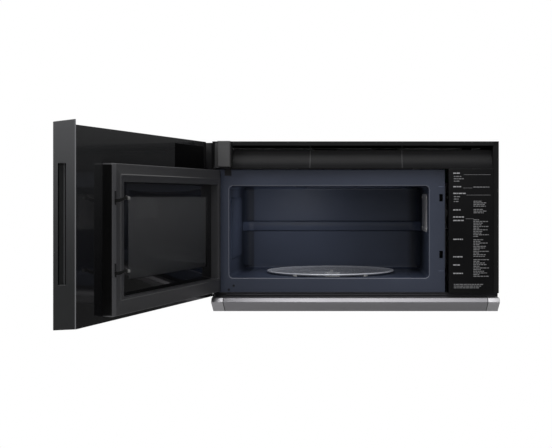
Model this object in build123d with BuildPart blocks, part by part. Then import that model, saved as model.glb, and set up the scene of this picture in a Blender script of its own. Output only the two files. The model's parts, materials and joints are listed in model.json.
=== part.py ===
"""Over-the-range microwave with its full-width door standing open.

Frame: X to the right as seen from the front, Y into the wall, Z up, in
millimetres. The origin is the middle of the rear face that hangs on the wall,
so the whole oven lies at negative Y. The door is drawn in its own plane at the
hinge pin: u runs along the closed door, v into the oven, and the plane is
turned by the opening angle.
"""

import os
from math import atan2, cos, degrees, hypot, radians, sin

from build123d import *

os.makedirs("parts", exist_ok=True)

# ---------------------------------------------------------------- dimensions
# Cabinet
body_width = 759.0
body_height = 452.0
body_depth = 380.0          # wall to the oven face
sheet = 1.0                 # painted sheet metal
rear_sheet = 1.2
pan_sheet = 1.2
wall_plate_thick = 2.0
wall_plate_side = 39.5      # cabinet side to the wall plate
seam = 0.1                  # between sheets that lie inside one another

# Spaces left round the oven cavity
left_bay = 42.5             # cabinet side to cavity
service_bay = 183.5         # cavity to the right side, for the electrics
roof_space = 117.8          # cavity ceiling to the top, for the blower
floor_space = 88.6          # cavity floor to the underside
rear_gap = 12.0             # cavity back to the wall
cavity_corner = 34.0        # upright corners at the back
cavity_cove = 9.0           # floor and ceiling coves
well_depth = 13.4           # round well in the floor that the roller ring runs in
well_radius = 172.0
back_bead_rise = 4.0
back_bead_height = 29.9

# Enamelled face plate round the mouth
face_left_gap = 8.5         # cabinet side to the plate
guide_seam = 8.0            # plate to the guide panel
band_seam = 2.2             # plate to the air outlet above
sill_height = 12.0          # plate to the trim bar below

# Front pieces that stand proud of the face plate
bezel_proud = 23.0
band_height = 72.2
band_strip_height = 11.3
guide_bay = 133.0           # guide panel and flange together
flange_width = 12.8
left_flange_width = 6.5
left_flange_back = 4.0      # left flange behind the bezel, to clear the door
sill_lip_drop = 5.6
sill_lip_height = 4.2
sill_thick = 3.0

# Trim bar below the door
bar_proud = 45.0
bar_height = 38.6
bar_edge_drop = 11.6
bar_lean = 8.0              # how far its upper face leans back
bar_wall = 1.8
bar_cap_length = 31.9

# Hinge
hinge_inset = 5.0           # pin axis from the cabinet's left side
hinge_pin_radius = 2.5
hinge_running_gap = 0.06
hinge_lug_radius = 4.8
door_gap = 2.0              # closed door to the bezel
pin_behind_liner = 0.5
door_open_angle = 104.0
hinge_leaf_thick = 3.0
hinge_leaf_length = 38.5
hinge_leaf_drop = 3.8       # below the air outlet
hinge_bracket_reach = 39.5
cover_from_pin = 12.2
cover_width = 33.0
cover_rise = 3.9            # cover's foot above the air outlet's
cover_proud = 50.0          # hinge cover ahead of the face plate
cover_swing_gap = 1.9       # door's notch clear of the cover at its pin side
cover_sweep_gap = 2.1       # door's notch clear of the cover's swept corner
cover_depth_gap = 2.5       # and ahead of the cover's front
bracket_lug_gap = 0.7

# Door
door_thick = 36.5
door_left_gap = 2.5         # closed door inside the cabinet's left side
end_cap_width = 27.0
liner_thick = 2.0
glass_thick = 4.0
door_foot_gap = 4.4         # trim bar to the closed door
liner_top_gap = 4.4
lip_rise = 7.2              # end cap's inner lip above the cabinet top
core_rail = 14.0
choke_left_u = 3.5
choke_guide_gap = 3.0       # closed choke frame to the guide panel
choke_proud = 23.0
choke_ridge = 1.0
choke_corner = 5.0
choke_left_rail = 20.5
choke_right_rail = 53.0
choke_top_rail = 38.1
choke_bottom_rail = 35.8
screen_margin = 30.0        # black border of the window
screen_hole_pitch = 22.0

# Pocket handle in the end cap's slanted face
handle_top_gap = 81.0
handle_bottom_gap = 131.0
handle_width = 15.4
handle_depth = 12.0
handle_from_front = 7.8

# Latch
latch_inset = 10.0          # from the face plate's right edge
latch_slot_width = 9.4
latch_slot_height = 19.6
latch_upper_drop = 31.5     # below the cavity ceiling
latch_lower_rise = 62.5     # above the cavity floor
hook_thick = 2.6
hook_reach = 31.5           # beyond the choke frame
latch_travel = 4.0
latch_pocket_reach = 29.3   # pocket beyond the hooks
plunger_travel = 3.0
holder_depth = 62.0

# Turntable
tray_wall_gap = 4.0         # tray to the cavity's front and back
tray_glass = 4.5
tray_height = 9.5
roller_circle = 112.0
roller_radius = 7.0
roller_width = 7.0
roller_pin_radius = 1.6
spindle_radius = 4.0
running_gap = 0.05

# Blower and cooling fan
blower_y = -105.0
blower_drop = 60.0          # axis below the top
blower_wheel_radius = 40.0
blower_wheel_width = 62.0
blower_wheel_x = 86.0
blower_shaft_radius = 4.0
scroll_radius = 52.0
scroll_wall = 1.5
fan_inset = 99.5            # fan axis from the right side
fan_radius = 46.0
fan_shaft_radius = 2.5

# Underside
filter_middle_gap = 80.0
filter_side_strip = 99.5    # between the filters and the cabinet sides
filter_from_face = 215.0
filter_width = 150.0
filter_thick = 9.0
filter_gap = 1.0
filter_runner_gap = 0.1     # at its two ends, where it slides
lamp_inset = 124.5
lamp_from_face = 65.0
lens_length = 92.0
lens_width = 52.0

# Electrics in the service bay
waveguide_depth = 40.0
waveguide_length = 170.0
waveguide_height = 90.0
wave_port_length = 90.0
wave_port_height = 60.0
wave_cover_length = 197.0
wave_cover_height = 105.4
wave_cover_thick = 0.8
magnetron_from_face = 175.0
magnetron_drop = 73.2       # below the cavity ceiling
transformer_inset = 49.5
transformer_from_face = 148.0
capacitor_from_face = 235.0
board_inset = 17.5
board_length = 157.0
board_height = 230.0
board_drop = 95.4           # its foot below the cavity's middle height

# Fastening to the wall and to the cabinet above
wall_bolt_radius = 3.5
wall_bolt_spacing_x = 406.4
wall_bolt_spacing_z = 200.0
wall_bolt_centre_z = -40.0
top_bolt_radius = 3.5
top_bolt_inset = 119.5
top_bolt_from_face = 50.0
bolt_head_room = 12.0
exhaust_length = 254.0
exhaust_width = 82.6
exhaust_from_face = 130.0
cord_inset = 49.5
cord_y = -60.0
cord_hole_radius = 14.0

# ------------------------------------------------------------ derived places
half_w = body_width / 2
top_z = body_height / 2
bottom_z = -top_z
face_y = -body_depth
bezel_y = face_y - bezel_proud
inner_x = half_w - sheet - seam
rear_front_y = -wall_plate_thick - rear_sheet
pan_top_z = bottom_z + pan_sheet
cavity_left_x = -half_w + left_bay
cavity_right_x = half_w - service_bay
cavity_width = cavity_right_x - cavity_left_x
cavity_centre_x = (cavity_left_x + cavity_right_x) / 2
cavity_floor_z = bottom_z + floor_space
cavity_top_z = top_z - roof_space
cavity_mid_z = (cavity_floor_z + cavity_top_z) / 2
cavity_back_y = -rear_gap
cavity_depth = cavity_back_y - face_y
shell_left_x = cavity_left_x - sheet
shell_right_x = cavity_right_x + sheet
shell_top_z = cavity_top_z + sheet
shell_floor_z = cavity_floor_z - sheet
well_floor_z = cavity_floor_z - well_depth
tray_bottom_z = well_floor_z + 2 * roller_radius
tray_y = face_y + cavity_depth / 2
tray_radius = cavity_depth / 2 - tray_wall_gap

flange_x = half_w - flange_width
guide_left_x = half_w - guide_bay
band_bottom_z = top_z - band_height
bar_top_z = bottom_z + bar_height
bar_front_y = face_y - bar_proud
bar_edge_z = bar_top_z - bar_edge_drop
face_left_x = -half_w + face_left_gap
face_right_x = guide_left_x - guide_seam
face_top_z = band_bottom_z - band_seam
face_bottom_z = bar_top_z + sill_height
sill_top_z = face_bottom_z - 0.6
sill_lip_top_z = face_bottom_z - sill_lip_drop

pin_x = -half_w + hinge_inset
door_back_y = bezel_y - door_gap
pin_y = door_back_y + pin_behind_liner
cover_left_x = pin_x + cover_from_pin
cover_right_x = cover_left_x + cover_width
cover_bottom_z = band_bottom_z + cover_rise
hinge_leaf_top_z = band_bottom_z - hinge_leaf_drop
door_plane = Plane(
    origin=(pin_x, pin_y, 0),
    x_dir=(cos(radians(-door_open_angle)), sin(radians(-door_open_angle)), 0),
    z_dir=(0, 0, 1),
)
door_left_u = door_left_gap - hinge_inset
door_end_u = half_w - pin_x
liner_end_u = door_left_u + body_width - end_cap_width
door_bottom_z = bar_top_z + door_foot_gap
liner_top_z = top_z - liner_top_gap
liner_back_v = -pin_behind_liner
core_back_v = liner_back_v - liner_thick
door_front_v = liner_back_v - door_thick
glass_back_v = door_front_v + glass_thick
choke_face_v = liner_back_v + choke_proud
choke_right_u = guide_left_x - pin_x - choke_guide_gap
choke_top_z = hinge_leaf_top_z - 0.9
choke_bottom_z = face_bottom_z + 4.6
recess_left_u = choke_left_u + choke_left_rail
recess_right_u = choke_right_u - choke_right_rail
recess_top_z = choke_top_z - choke_top_rail
recess_bottom_z = choke_bottom_z + choke_bottom_rail
handle_top_z = top_z - handle_top_gap
handle_bottom_z = bottom_z + handle_bottom_gap
latch_x = face_right_x - latch_inset
latch_u = latch_x - pin_x
latch_upper_z = cavity_top_z - latch_upper_drop
latch_lower_z = cavity_floor_z + latch_lower_rise
latch_pocket_z = (latch_lower_z - latch_pocket_reach, latch_upper_z + latch_pocket_reach)
lower_leaf_top_z = door_bottom_z + hinge_leaf_thick
cover_front_y = face_y - cover_proud
cover_sweep = hypot(cover_right_x - pin_x, cover_front_y - pin_y)
hinge_notch_u = (cover_left_x - pin_x - cover_swing_gap, cover_sweep + cover_sweep_gap)
hinge_notch_v = (cover_front_y - pin_y - cover_depth_gap, 1.0)
hinge_notch_z = (hinge_leaf_top_z + 1.5, top_z)

blower_z = top_z - blower_drop
fan_x = half_w - fan_inset
fan_z = cavity_top_z - magnetron_drop
magnetron_y = face_y + magnetron_from_face
magnetron_z = cavity_top_z - magnetron_drop
waveguide_x = shell_right_x + waveguide_depth
transformer_x = half_w - transformer_inset
transformer_y = face_y + transformer_from_face
capacitor_y = face_y + capacitor_from_face
board_x = half_w - board_inset
board_y = face_y + 8.0
board_z = cavity_mid_z - board_drop
filter_length = half_w - filter_side_strip - filter_middle_gap / 2
filter_x = (filter_middle_gap + filter_length) / 2
filter_y = face_y + filter_from_face
lamp_x = half_w - lamp_inset
lamp_y = face_y + lamp_from_face
wall_plate_width = body_width - 2 * wall_plate_side
top_bolt_x = half_w - top_bolt_inset
top_bolt_y = face_y + top_bolt_from_face
exhaust_y = face_y + exhaust_from_face
cord_x = half_w - cord_inset


def slab(x, y, z, mode=Mode.ADD):
    """A block between two values on each axis, in the builder's own plane."""
    with Locations(((x[0] + x[1]) / 2, (y[0] + y[1]) / 2, (z[0] + z[1]) / 2)):
        Box(abs(x[1] - x[0]), abs(y[1] - y[0]), abs(z[1] - z[0]), mode=mode)


def rod(centre, radius, length, turn=(0, 0, 0), mode=Mode.ADD):
    """A round bar about its own centre, upright unless it is turned."""
    with Locations(centre):
        Cylinder(radius, length, rotation=turn, mode=mode)


def about(middle, size):
    """The two ends of a size centred on middle."""
    return (middle - size / 2, middle + size / 2)


ALONG_X = (0, 90, 0)
ALONG_Y = (90, 0, 0)

# ============================================================ cabinet, fixed
# Painted wrap: two sides and the top, with front flanges folded inwards.
left_edge_y = bezel_y + left_flange_back
left_flange_x = -half_w + left_flange_width
with BuildPart() as cabinet_wrap:
    slab((-half_w, -half_w + sheet), (left_edge_y, -wall_plate_thick), (sill_top_z, top_z))
    slab((half_w - sheet, half_w), (bezel_y, -wall_plate_thick), (sill_top_z, top_z))
    for side in (-1, 1):
        inner, outer = sorted((side * (half_w - sheet), side * half_w))
        slab((inner, outer), (face_y, -wall_plate_thick), (bottom_z, sill_top_z))
    slab((-half_w, half_w), (bezel_y + 2.1, -wall_plate_thick), (top_z - sheet, top_z))
    slab((flange_x, half_w), (bezel_y, bezel_y + sheet), (sill_top_z, top_z))
    slab((-half_w, left_flange_x), (left_edge_y, left_edge_y + sheet), (sill_top_z, top_z))
    slab(
        (-exhaust_length / 2, exhaust_length / 2),
        (exhaust_y - exhaust_width / 2, exhaust_y + exhaust_width / 2),
        (top_z - 2, top_z + 2),
        mode=Mode.SUBTRACT,
    )
    for side in (-1, 1):
        rod((side * top_bolt_x, top_bolt_y, top_z), top_bolt_radius, 6, mode=Mode.SUBTRACT)
    rod((cord_x, cord_y, top_z), cord_hole_radius, 6, mode=Mode.SUBTRACT)
cabinet_wrap.part.label = "cabinet_wrap"
export_step(cabinet_wrap.part, "parts/cabinet_wrap.step")

# Plate that hangs on the wall, with two hooked tabs at its foot.
wall_plate_top_z = band_bottom_z - 3.8
wall_plate_bottom_z = bottom_z + 14.0
tab_x = wall_plate_width / 2 - 110.0
tab_width = 40.0
with BuildPart() as wall_plate:
    slab(
        (-wall_plate_width / 2, wall_plate_width / 2),
        (-wall_plate_thick, 0),
        (wall_plate_bottom_z, wall_plate_top_z),
    )
    edges_y = wall_plate.edges().filter_by(Axis.Y)
    fillet(edges_y, radius=8)
    for side in (-1, 1):
        tab = (side * tab_x - tab_width / 2, side * tab_x + tab_width / 2)
        slab(tab, (-12, -wall_plate_thick), (wall_plate_bottom_z, wall_plate_bottom_z + 2))
        slab(tab, (-12, -10), (wall_plate_bottom_z, wall_plate_bottom_z + 9))
    with Locations((0, 0, wall_bolt_centre_z)):
        with GridLocations(wall_bolt_spacing_x, 1, 2, 1):
            for dz in (-wall_bolt_spacing_z / 2, wall_bolt_spacing_z / 2):
                with Locations((0, -wall_plate_thick / 2, dz)):
                    Cylinder(wall_bolt_radius, 8, rotation=ALONG_Y, mode=Mode.SUBTRACT)
wall_plate.part.label = "wall_plate"
export_step(wall_plate.part, "parts/wall_plate.step")

# Rear panel, cleared for the bolt heads and slotted for the tabs.
with BuildPart() as rear_panel:
    slab((-inner_x, inner_x), (rear_front_y, -wall_plate_thick), (bottom_z, top_z - sheet - seam))
    for side in (-1, 1):
        slab(
            (side * tab_x - tab_width / 2 - 2, side * tab_x + tab_width / 2 + 2),
            (rear_front_y - 1, 0),
            (wall_plate_bottom_z - 1, wall_plate_bottom_z + 11),
            mode=Mode.SUBTRACT,
        )
        for dz in (-wall_bolt_spacing_z / 2, wall_bolt_spacing_z / 2):
            rod(
                (side * wall_bolt_spacing_x / 2, -wall_plate_thick, wall_bolt_centre_z + dz),
                bolt_head_room,
                8,
                ALONG_Y,
                Mode.SUBTRACT,
            )
rear_panel.part.label = "rear_panel"
export_step(rear_panel.part, "parts/rear_panel.step")

# Bottom pan with upturned sides and openings for filters and lenses.
pan_front_y = face_y + sill_thick
pan_back_y = rear_front_y - seam
with BuildPart() as base_pan:
    slab((-inner_x, inner_x), (pan_front_y, pan_back_y), (bottom_z, pan_top_z))
    for side in (-1, 1):
        flange = sorted((side * inner_x, side * (inner_x - sheet)))
        slab(flange, (pan_front_y, pan_back_y), (bottom_z, bottom_z + 26))
        slab(
            (side * filter_x - filter_length / 2, side * filter_x + filter_length / 2),
            (filter_y - filter_width / 2, filter_y + filter_width / 2),
            (bottom_z - 1, pan_top_z + 1),
            mode=Mode.SUBTRACT,
        )
        slab(
            (side * lamp_x - lens_length / 2, side * lamp_x + lens_length / 2),
            (lamp_y - lens_width / 2, lamp_y + lens_width / 2),
            (bottom_z - 1, pan_top_z + 1),
            mode=Mode.SUBTRACT,
        )
base_pan.part.label = "base_pan"
export_step(base_pan.part, "parts/base_pan.step")

# Enamelled face plate round the mouth, with the two latch slots.
waveguide_y = about(magnetron_y, waveguide_length)
waveguide_z = about(magnetron_z, waveguide_height)
with BuildPart() as face_plate:
    with BuildSketch(Plane.XZ.offset(body_depth - sheet)):
        with Locations(((face_left_x + face_right_x) / 2, (face_top_z + face_bottom_z) / 2)):
            RectangleRounded(face_right_x - face_left_x, face_top_z - face_bottom_z, 3)
        with Locations((cavity_centre_x, cavity_mid_z)):
            RectangleRounded(cavity_width, cavity_top_z - cavity_floor_z, cavity_cove, mode=Mode.SUBTRACT)
        for slot_z in (latch_upper_z, latch_lower_z):
            with Locations((latch_x, slot_z)):
                Rectangle(latch_slot_width, latch_slot_height, mode=Mode.SUBTRACT)
    extrude(amount=sheet)
face_plate.part.label = "face_plate"
export_step(face_plate.part, "parts/face_plate.step")

# Enamelled oven cavity: a drawn box, open at the front.
bead_z = cavity_mid_z + 5.85
with BuildPart() as oven_cavity:
    slab(
        (shell_left_x, shell_right_x),
        (face_y + sheet, cavity_back_y + sheet),
        (shell_floor_z, shell_top_z),
    )
    fillet(oven_cavity.edges().filter_by(Axis.Z).group_by(Axis.Y)[-1], radius=cavity_corner + sheet)
    fillet(oven_cavity.edges().filter_by(Axis.Y), radius=cavity_cove + sheet)
    with BuildPart(mode=Mode.PRIVATE) as hollow:
        slab((cavity_left_x, cavity_right_x), (face_y - 1, cavity_back_y), (cavity_floor_z, cavity_top_z))
        fillet(hollow.edges().filter_by(Axis.Z).group_by(Axis.Y)[-1], radius=cavity_corner)
        fillet(hollow.edges().filter_by(Axis.Y), radius=cavity_cove)
    add(hollow.part, mode=Mode.SUBTRACT)
    # round well for the roller ring
    rod(
        (cavity_centre_x, tray_y, cavity_floor_z - (well_depth + sheet) / 2),
        well_radius + sheet,
        well_depth + sheet,
    )
    rod(
        (cavity_centre_x, tray_y, cavity_floor_z - well_depth / 2 + 1),
        well_radius,
        well_depth + 2,
        mode=Mode.SUBTRACT,
    )
    # bead across the back wall
    bead_y = (cavity_back_y - back_bead_rise, cavity_back_y + sheet / 2)
    slab((cavity_left_x + 42, cavity_right_x - 32), bead_y,
         about(bead_z, back_bead_height))
    # embossed panel on the left wall
    slab((shell_left_x + sheet / 2, cavity_left_x + 2.5), (face_y + 40, cavity_back_y - 73),
         (cavity_floor_z + 42.4, cavity_top_z - 30.2))
    # spindle hole, wave port and lamp holes
    rod((cavity_centre_x, tray_y, well_floor_z), spindle_radius + 2.0, 20, mode=Mode.SUBTRACT)
    slab((cavity_right_x - 5, shell_right_x + 5), about(magnetron_y, wave_port_length),
         about(magnetron_z, wave_port_height), mode=Mode.SUBTRACT)
    for row in range(3):
        for column in range(4):
            rod(
                (cavity_left_x, magnetron_y - 38 + column * 12, magnetron_z + 8 + row * 12),
                3,
                14,
                ALONG_X,
                Mode.SUBTRACT,
            )
oven_cavity.part.label = "oven_cavity"
export_step(oven_cavity.part, "parts/oven_cavity.step")

# Cover of the wave port, on the right wall of the cavity.
with BuildPart() as wave_cover:
    slab((cavity_right_x - wave_cover_thick, cavity_right_x), about(magnetron_y + 1.5, wave_cover_length),
         about(magnetron_z - 0.7, wave_cover_height))
    fillet(wave_cover.edges().filter_by(Axis.X), radius=4)
wave_cover.part.label = "wave_cover"
export_step(wave_cover.part, "parts/wave_cover.step")

# Waveguide: an open-sided duct on the outside of that wall.
with BuildPart() as waveguide:
    slab((shell_right_x, waveguide_x), waveguide_y, waveguide_z)
    slab(
        (shell_right_x - 1, waveguide_x - sheet),
        (waveguide_y[0] + sheet, waveguide_y[1] - sheet),
        (waveguide_z[0] + sheet, waveguide_z[1] - sheet),
        mode=Mode.SUBTRACT,
    )
    rod((waveguide_x, magnetron_y, magnetron_z), 12, 8, ALONG_X, Mode.SUBTRACT)
waveguide.part.label = "waveguide"
export_step(waveguide.part, "parts/waveguide.step")

# Magnetron: antenna, yoke and a stack of cooling fins.
with BuildPart() as magnetron:
    rod((waveguide_x - 12, magnetron_y, magnetron_z), 9, 25, ALONG_X)
    slab(
        (waveguide_x, waveguide_x + 4),
        (magnetron_y - 45, magnetron_y + 45),
        (magnetron_z - 46, magnetron_z + 46),
    )
    slab(
        (waveguide_x + 60, waveguide_x + 64),
        (magnetron_y - 45, magnetron_y + 45),
        (magnetron_z - 46, magnetron_z + 46),
    )
    for side in (-1, 1):
        wall = sorted((magnetron_z + side * 46, magnetron_z + side * 43))
        slab((waveguide_x, waveguide_x + 64), (magnetron_y - 45, magnetron_y + 45), wall)
    rod((waveguide_x + 40, magnetron_y, magnetron_z), 20, 72, ALONG_X)
    for k in range(9):
        fin_x = waveguide_x + 10 + k * 5.5
        slab(
            (fin_x, fin_x + 1.2),
            (magnetron_y - 42, magnetron_y + 42),
            (magnetron_z - 43, magnetron_z + 43),
        )
    slab(
        (waveguide_x + 64, waveguide_x + 86),
        (magnetron_y - 22, magnetron_y + 22),
        (magnetron_z - 20, magnetron_z + 20),
    )
magnetron.part.label = "magnetron"
export_step(magnetron.part, "parts/magnetron.step")

# Cooling fan housing with its motor, and the bladed wheel on the motor shaft.
fan_front_y = -60.0
fan_back_y = -24.0
with BuildPart() as fan_housing:
    slab((fan_x - 55, fan_x + 55), (fan_front_y, fan_back_y), (fan_z - 55, fan_z + 55))
    rod((fan_x, (fan_front_y + fan_back_y) / 2, fan_z), fan_radius + 4, 60, ALONG_Y, Mode.SUBTRACT)
    slab((fan_x - 54, fan_x + 54), (fan_back_y - 4, fan_back_y), (fan_z - 5, fan_z + 5))
    slab((fan_x - 5, fan_x + 5), (fan_back_y - 4, fan_back_y), (fan_z - 54, fan_z + 54))
    rod((fan_x, fan_back_y - 6, fan_z), 20, 12, ALONG_Y)
    rod((fan_x, fan_back_y - 22, fan_z), fan_shaft_radius, 24, ALONG_Y)
    with Locations((fan_x, 0, fan_z)):
        for dx in (-50, 50):
            for dz in (-50, 50):
                with Locations((dx, (fan_back_y + rear_front_y) / 2, dz)):
                    Cylinder(4, rear_front_y - fan_back_y, rotation=ALONG_Y)
fan_housing.part.label = "fan_housing"
export_step(fan_housing.part, "parts/fan_housing.step")

with BuildPart() as cooling_fan:
    rod((fan_x, fan_back_y - 23.5, fan_z), 14, 20, ALONG_Y)
    with Locations(Location((fan_x, fan_back_y - 23.5, fan_z), ALONG_Y)):
        with PolarLocations(29, 7):
            Box(36, 1.6, 22, rotation=(32, 0, 0))
    rod((fan_x, fan_back_y - 23.5, fan_z), fan_shaft_radius + running_gap, 40, ALONG_Y, Mode.SUBTRACT)
cooling_fan.part.label = "cooling_fan"
export_step(cooling_fan.part, "parts/cooling_fan.step")

# High-voltage transformer standing on the pan, right of the grease filter.
with BuildPart() as transformer:
    slab(
        (transformer_x - 44, transformer_x + 44),
        (transformer_y - 48, transformer_y + 48),
        (pan_top_z, pan_top_z + 4),
    )
    slab((transformer_x - 37, transformer_x + 37), (transformer_y - 38, transformer_y + 38),
         (pan_top_z + 4, pan_top_z + 74))
    slab((transformer_x - 24, transformer_x + 24), (transformer_y - 50, transformer_y + 50),
         (pan_top_z + 16, pan_top_z + 62))
transformer.part.label = "transformer"
export_step(transformer.part, "parts/transformer.step")

# High-voltage capacitor: an oval can in a strap.
with BuildPart() as capacitor:
    with BuildSketch(Plane.XY.offset(pan_top_z)):
        with Locations((transformer_x, capacitor_y)):
            SlotOverall(84, 48)
    extrude(amount=34)
    for side in (-1, 1):
        slab(about(transformer_x + side * 16, 6), about(capacitor_y, 2),
             (pan_top_z + 34, pan_top_z + 43))
    slab(
        (transformer_x - 45, transformer_x + 45),
        (capacitor_y - 7, capacitor_y + 7),
        (pan_top_z, pan_top_z + 2),
    )
capacitor.part.label = "capacitor"
export_step(capacitor.part, "parts/capacitor.step")

# Power board on four posts from the right side, relays facing inwards.
board_thick = 1.6
with BuildPart() as power_board:
    slab(
        (board_x, board_x + board_thick),
        (board_y, board_y + board_length),
        (board_z, board_z + board_height),
    )
    for y in (board_y + 8, board_y + board_length - 8):
        for z in (board_z + 8, board_z + board_height - 8):
            rod(
                ((board_x + board_thick + half_w - sheet) / 2, y, z),
                4,
                half_w - sheet - board_x - board_thick,
                ALONG_X,
            )
    for k in range(4):
        slab(
            (board_x - 16, board_x),
            about(board_y + 31 + k * 32, 18),
            about(board_z + board_height - 47, 26),
        )
    slab((board_x - 34, board_x), about(board_y + 37, 50), about(board_z + 57, 55))
    for k in range(3):
        rod((board_x - 12, board_y + 87 + k * 24, board_z + 50), 8, 24, ALONG_X)
    slab((board_x - 10, board_x), about(board_y + 102, 60), about(board_z + 119, 18))
power_board.part.label = "power_board"
export_step(power_board.part, "parts/power_board.step")

# Line filter board on the rear panel, close to the cord inlet.
filter_board_y = (-9.8, -8.2)
filter_board_x = about(fan_x + 27, 90)
filter_board_z = about(top_z - 72, 64)
with BuildPart() as line_filter:
    slab(filter_board_x, filter_board_y, filter_board_z)
    for x in (filter_board_x[0] + 6, filter_board_x[1] - 6):
        for z in (filter_board_z[0] + 6, filter_board_z[1] - 6):
            rod(
                (x, (filter_board_y[1] + rear_front_y) / 2, z),
                3,
                rear_front_y - filter_board_y[1],
                ALONG_Y,
            )
    rod((filter_board_x[0] + 28, filter_board_y[0] - 10, filter_board_z[1] - 28), 15, 20, ALONG_Y)
    slab(
        about(filter_board_x[1] - 26, 28),
        (filter_board_y[0] - 22, filter_board_y[0]),
        about(filter_board_z[0] + 19, 18),
    )
line_filter.part.label = "line_filter"
export_step(line_filter.part, "parts/line_filter.step")

# Grommet in the cord hole of the top.
with BuildPart() as cord_gland:
    rod((cord_x, cord_y, top_z + 0.8), cord_hole_radius + 4, 1.6)
    rod((cord_x, cord_y, top_z - 4), cord_hole_radius - seam, 8)
    rod((cord_x, cord_y, top_z), 6, 30, mode=Mode.SUBTRACT)
cord_gland.part.label = "cord_gland"
export_step(cord_gland.part, "parts/cord_gland.step")

# ----------------------------------------------------------- ventilation
# Two scrolls on one base, their outlets towards the front.
scroll_half = blower_wheel_width / 2 + 5
outlet_y = blower_y - 75
base_plate_z = shell_top_z + 1.5
with BuildPart() as blower_housing:
    for side in (-1, 1):
        x0 = side * blower_wheel_x - scroll_half
        with BuildSketch(Plane.YZ.offset(x0)):
            with Locations((blower_y, blower_z)):
                Circle(scroll_radius)
            with Locations(((outlet_y + blower_y) / 2, blower_z + scroll_radius - 22)):
                Rectangle(blower_y - outlet_y, 44)
        extrude(amount=2 * scroll_half)
        with BuildSketch(Plane.YZ.offset(x0 + scroll_wall)):
            with Locations((blower_y, blower_z)):
                Circle(scroll_radius - scroll_wall)
            with Locations(((outlet_y + blower_y) / 2 - 1, blower_z + scroll_radius - 22)):
                Rectangle(blower_y - outlet_y + 2, 44 - 2 * scroll_wall)
        extrude(amount=2 * scroll_half - 2 * scroll_wall, mode=Mode.SUBTRACT)
        rod((side * blower_wheel_x, blower_y, blower_z), 30, 2 * scroll_half + 4, ALONG_X, Mode.SUBTRACT)
        slab((x0, x0 + 2 * scroll_half), (blower_y - 14, blower_y + 14),
             (base_plate_z - 0.5, blower_z - scroll_radius + scroll_wall))
    slab((-124, 124), (blower_y - 40, blower_y + 40), (shell_top_z, base_plate_z))
blower_housing.part.label = "blower_housing"
export_step(blower_housing.part, "parts/blower_housing.step")

with BuildPart() as blower_motor:
    rod((0, blower_y, blower_z), 30, 76, ALONG_X)
    slab((-26, 26), (blower_y - 22, blower_y + 22), (base_plate_z, blower_z - 22))
    rod((0, blower_y, blower_z), blower_shaft_radius + running_gap, 90, ALONG_X, Mode.SUBTRACT)
blower_motor.part.label = "blower_motor"
export_step(blower_motor.part, "parts/blower_motor.step")

with BuildPart() as blower_shaft:
    rod((0, blower_y, blower_z), blower_shaft_radius, 2 * (blower_wheel_x + 34), ALONG_X)
blower_shaft.part.label = "blower_shaft"
export_step(blower_shaft.part, "parts/blower_shaft.step")

blade_count = 20
for side, name in ((-1, "blower_wheel_left"), (1, "blower_wheel_right")):
    centre_x = side * blower_wheel_x
    hub_x = centre_x - side * 24
    with BuildPart() as blower_wheel:
        rod((hub_x, blower_y, blower_z), 10, 14, ALONG_X)
        rod((hub_x, blower_y, blower_z), blower_wheel_radius, 2, ALONG_X)
        with Locations(Location((centre_x, blower_y, blower_z), ALONG_X)):
            with PolarLocations(blower_wheel_radius - 4, blade_count):
                Box(7, 1.4, 50, rotation=(0, 0, 35))
        rod((centre_x + side * 25, blower_y, blower_z), blower_wheel_radius, 2, ALONG_X)
        rod((centre_x + side * 25, blower_y, blower_z), blower_wheel_radius - 7, 4, ALONG_X, Mode.SUBTRACT)
        rod((hub_x, blower_y, blower_z), blower_shaft_radius, 20, ALONG_X, Mode.SUBTRACT)
    blower_wheel.part.label = name
    export_step(blower_wheel.part, f"parts/{name}.step")

# Air outlet along the top front: strip, curved ramp, ribs and filter rails.
vent_left_x = cover_right_x + 0.5
vent_right_x = flange_x - 0.3
rib_pitch = 238.0
rib_middle_x = 4.0
ramp_top_y = face_y + 6
ramp_top_z = top_z - 22.0
ramp_thick = 1.6
strip_bottom_z = top_z - band_strip_height
filter_rail_x = 152.0
filter_back_y = face_y + 24
with BuildPart() as vent_deflector:
    with BuildSketch(Plane.YZ.offset(vent_left_x)):
        with BuildLine():
            ramp = ThreePointArc(
                (ramp_top_y, ramp_top_z),
                (face_y - 4, band_bottom_z + 20.2),
                (bezel_y, band_bottom_z + ramp_thick),
            )
            Polyline(
                (bezel_y, band_bottom_z + ramp_thick),
                (bezel_y, band_bottom_z),
                (ramp_top_y + ramp_thick, band_bottom_z),
                (ramp_top_y + ramp_thick, ramp_top_z),
                (ramp_top_y, ramp_top_z),
            )
        make_face()
    extrude(amount=vent_right_x - vent_left_x)
    slab((vent_left_x, vent_right_x), (bezel_y, bezel_y + 2), (strip_bottom_z, top_z))
    slab(
        (vent_left_x, vent_right_x),
        (bezel_y + 2, face_y + 10),
        (top_z - sheet - 1.6, top_z - sheet - seam),
    )
    rib_places = [vent_left_x + 1, rib_middle_x - rib_pitch / 2, rib_middle_x + rib_pitch / 2, vent_right_x - 1]
    for rib_x in rib_places:
        slab((rib_x - 1, rib_x + 1), (bezel_y + 1, face_y + 7), (band_bottom_z + 1, top_z - sheet - 1))
    for side in (-1, 1):
        rail = sorted((side * filter_rail_x, side * (filter_rail_x + 1.6)))
        slab(rail, (face_y + 5, filter_back_y), (band_bottom_z, ramp_top_z))
    slab((-filter_rail_x, filter_rail_x), (face_y + 5, filter_back_y), (band_bottom_z, band_bottom_z + 1.6))
vent_deflector.part.label = "vent_deflector"
export_step(vent_deflector.part, "parts/vent_deflector.step")

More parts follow.
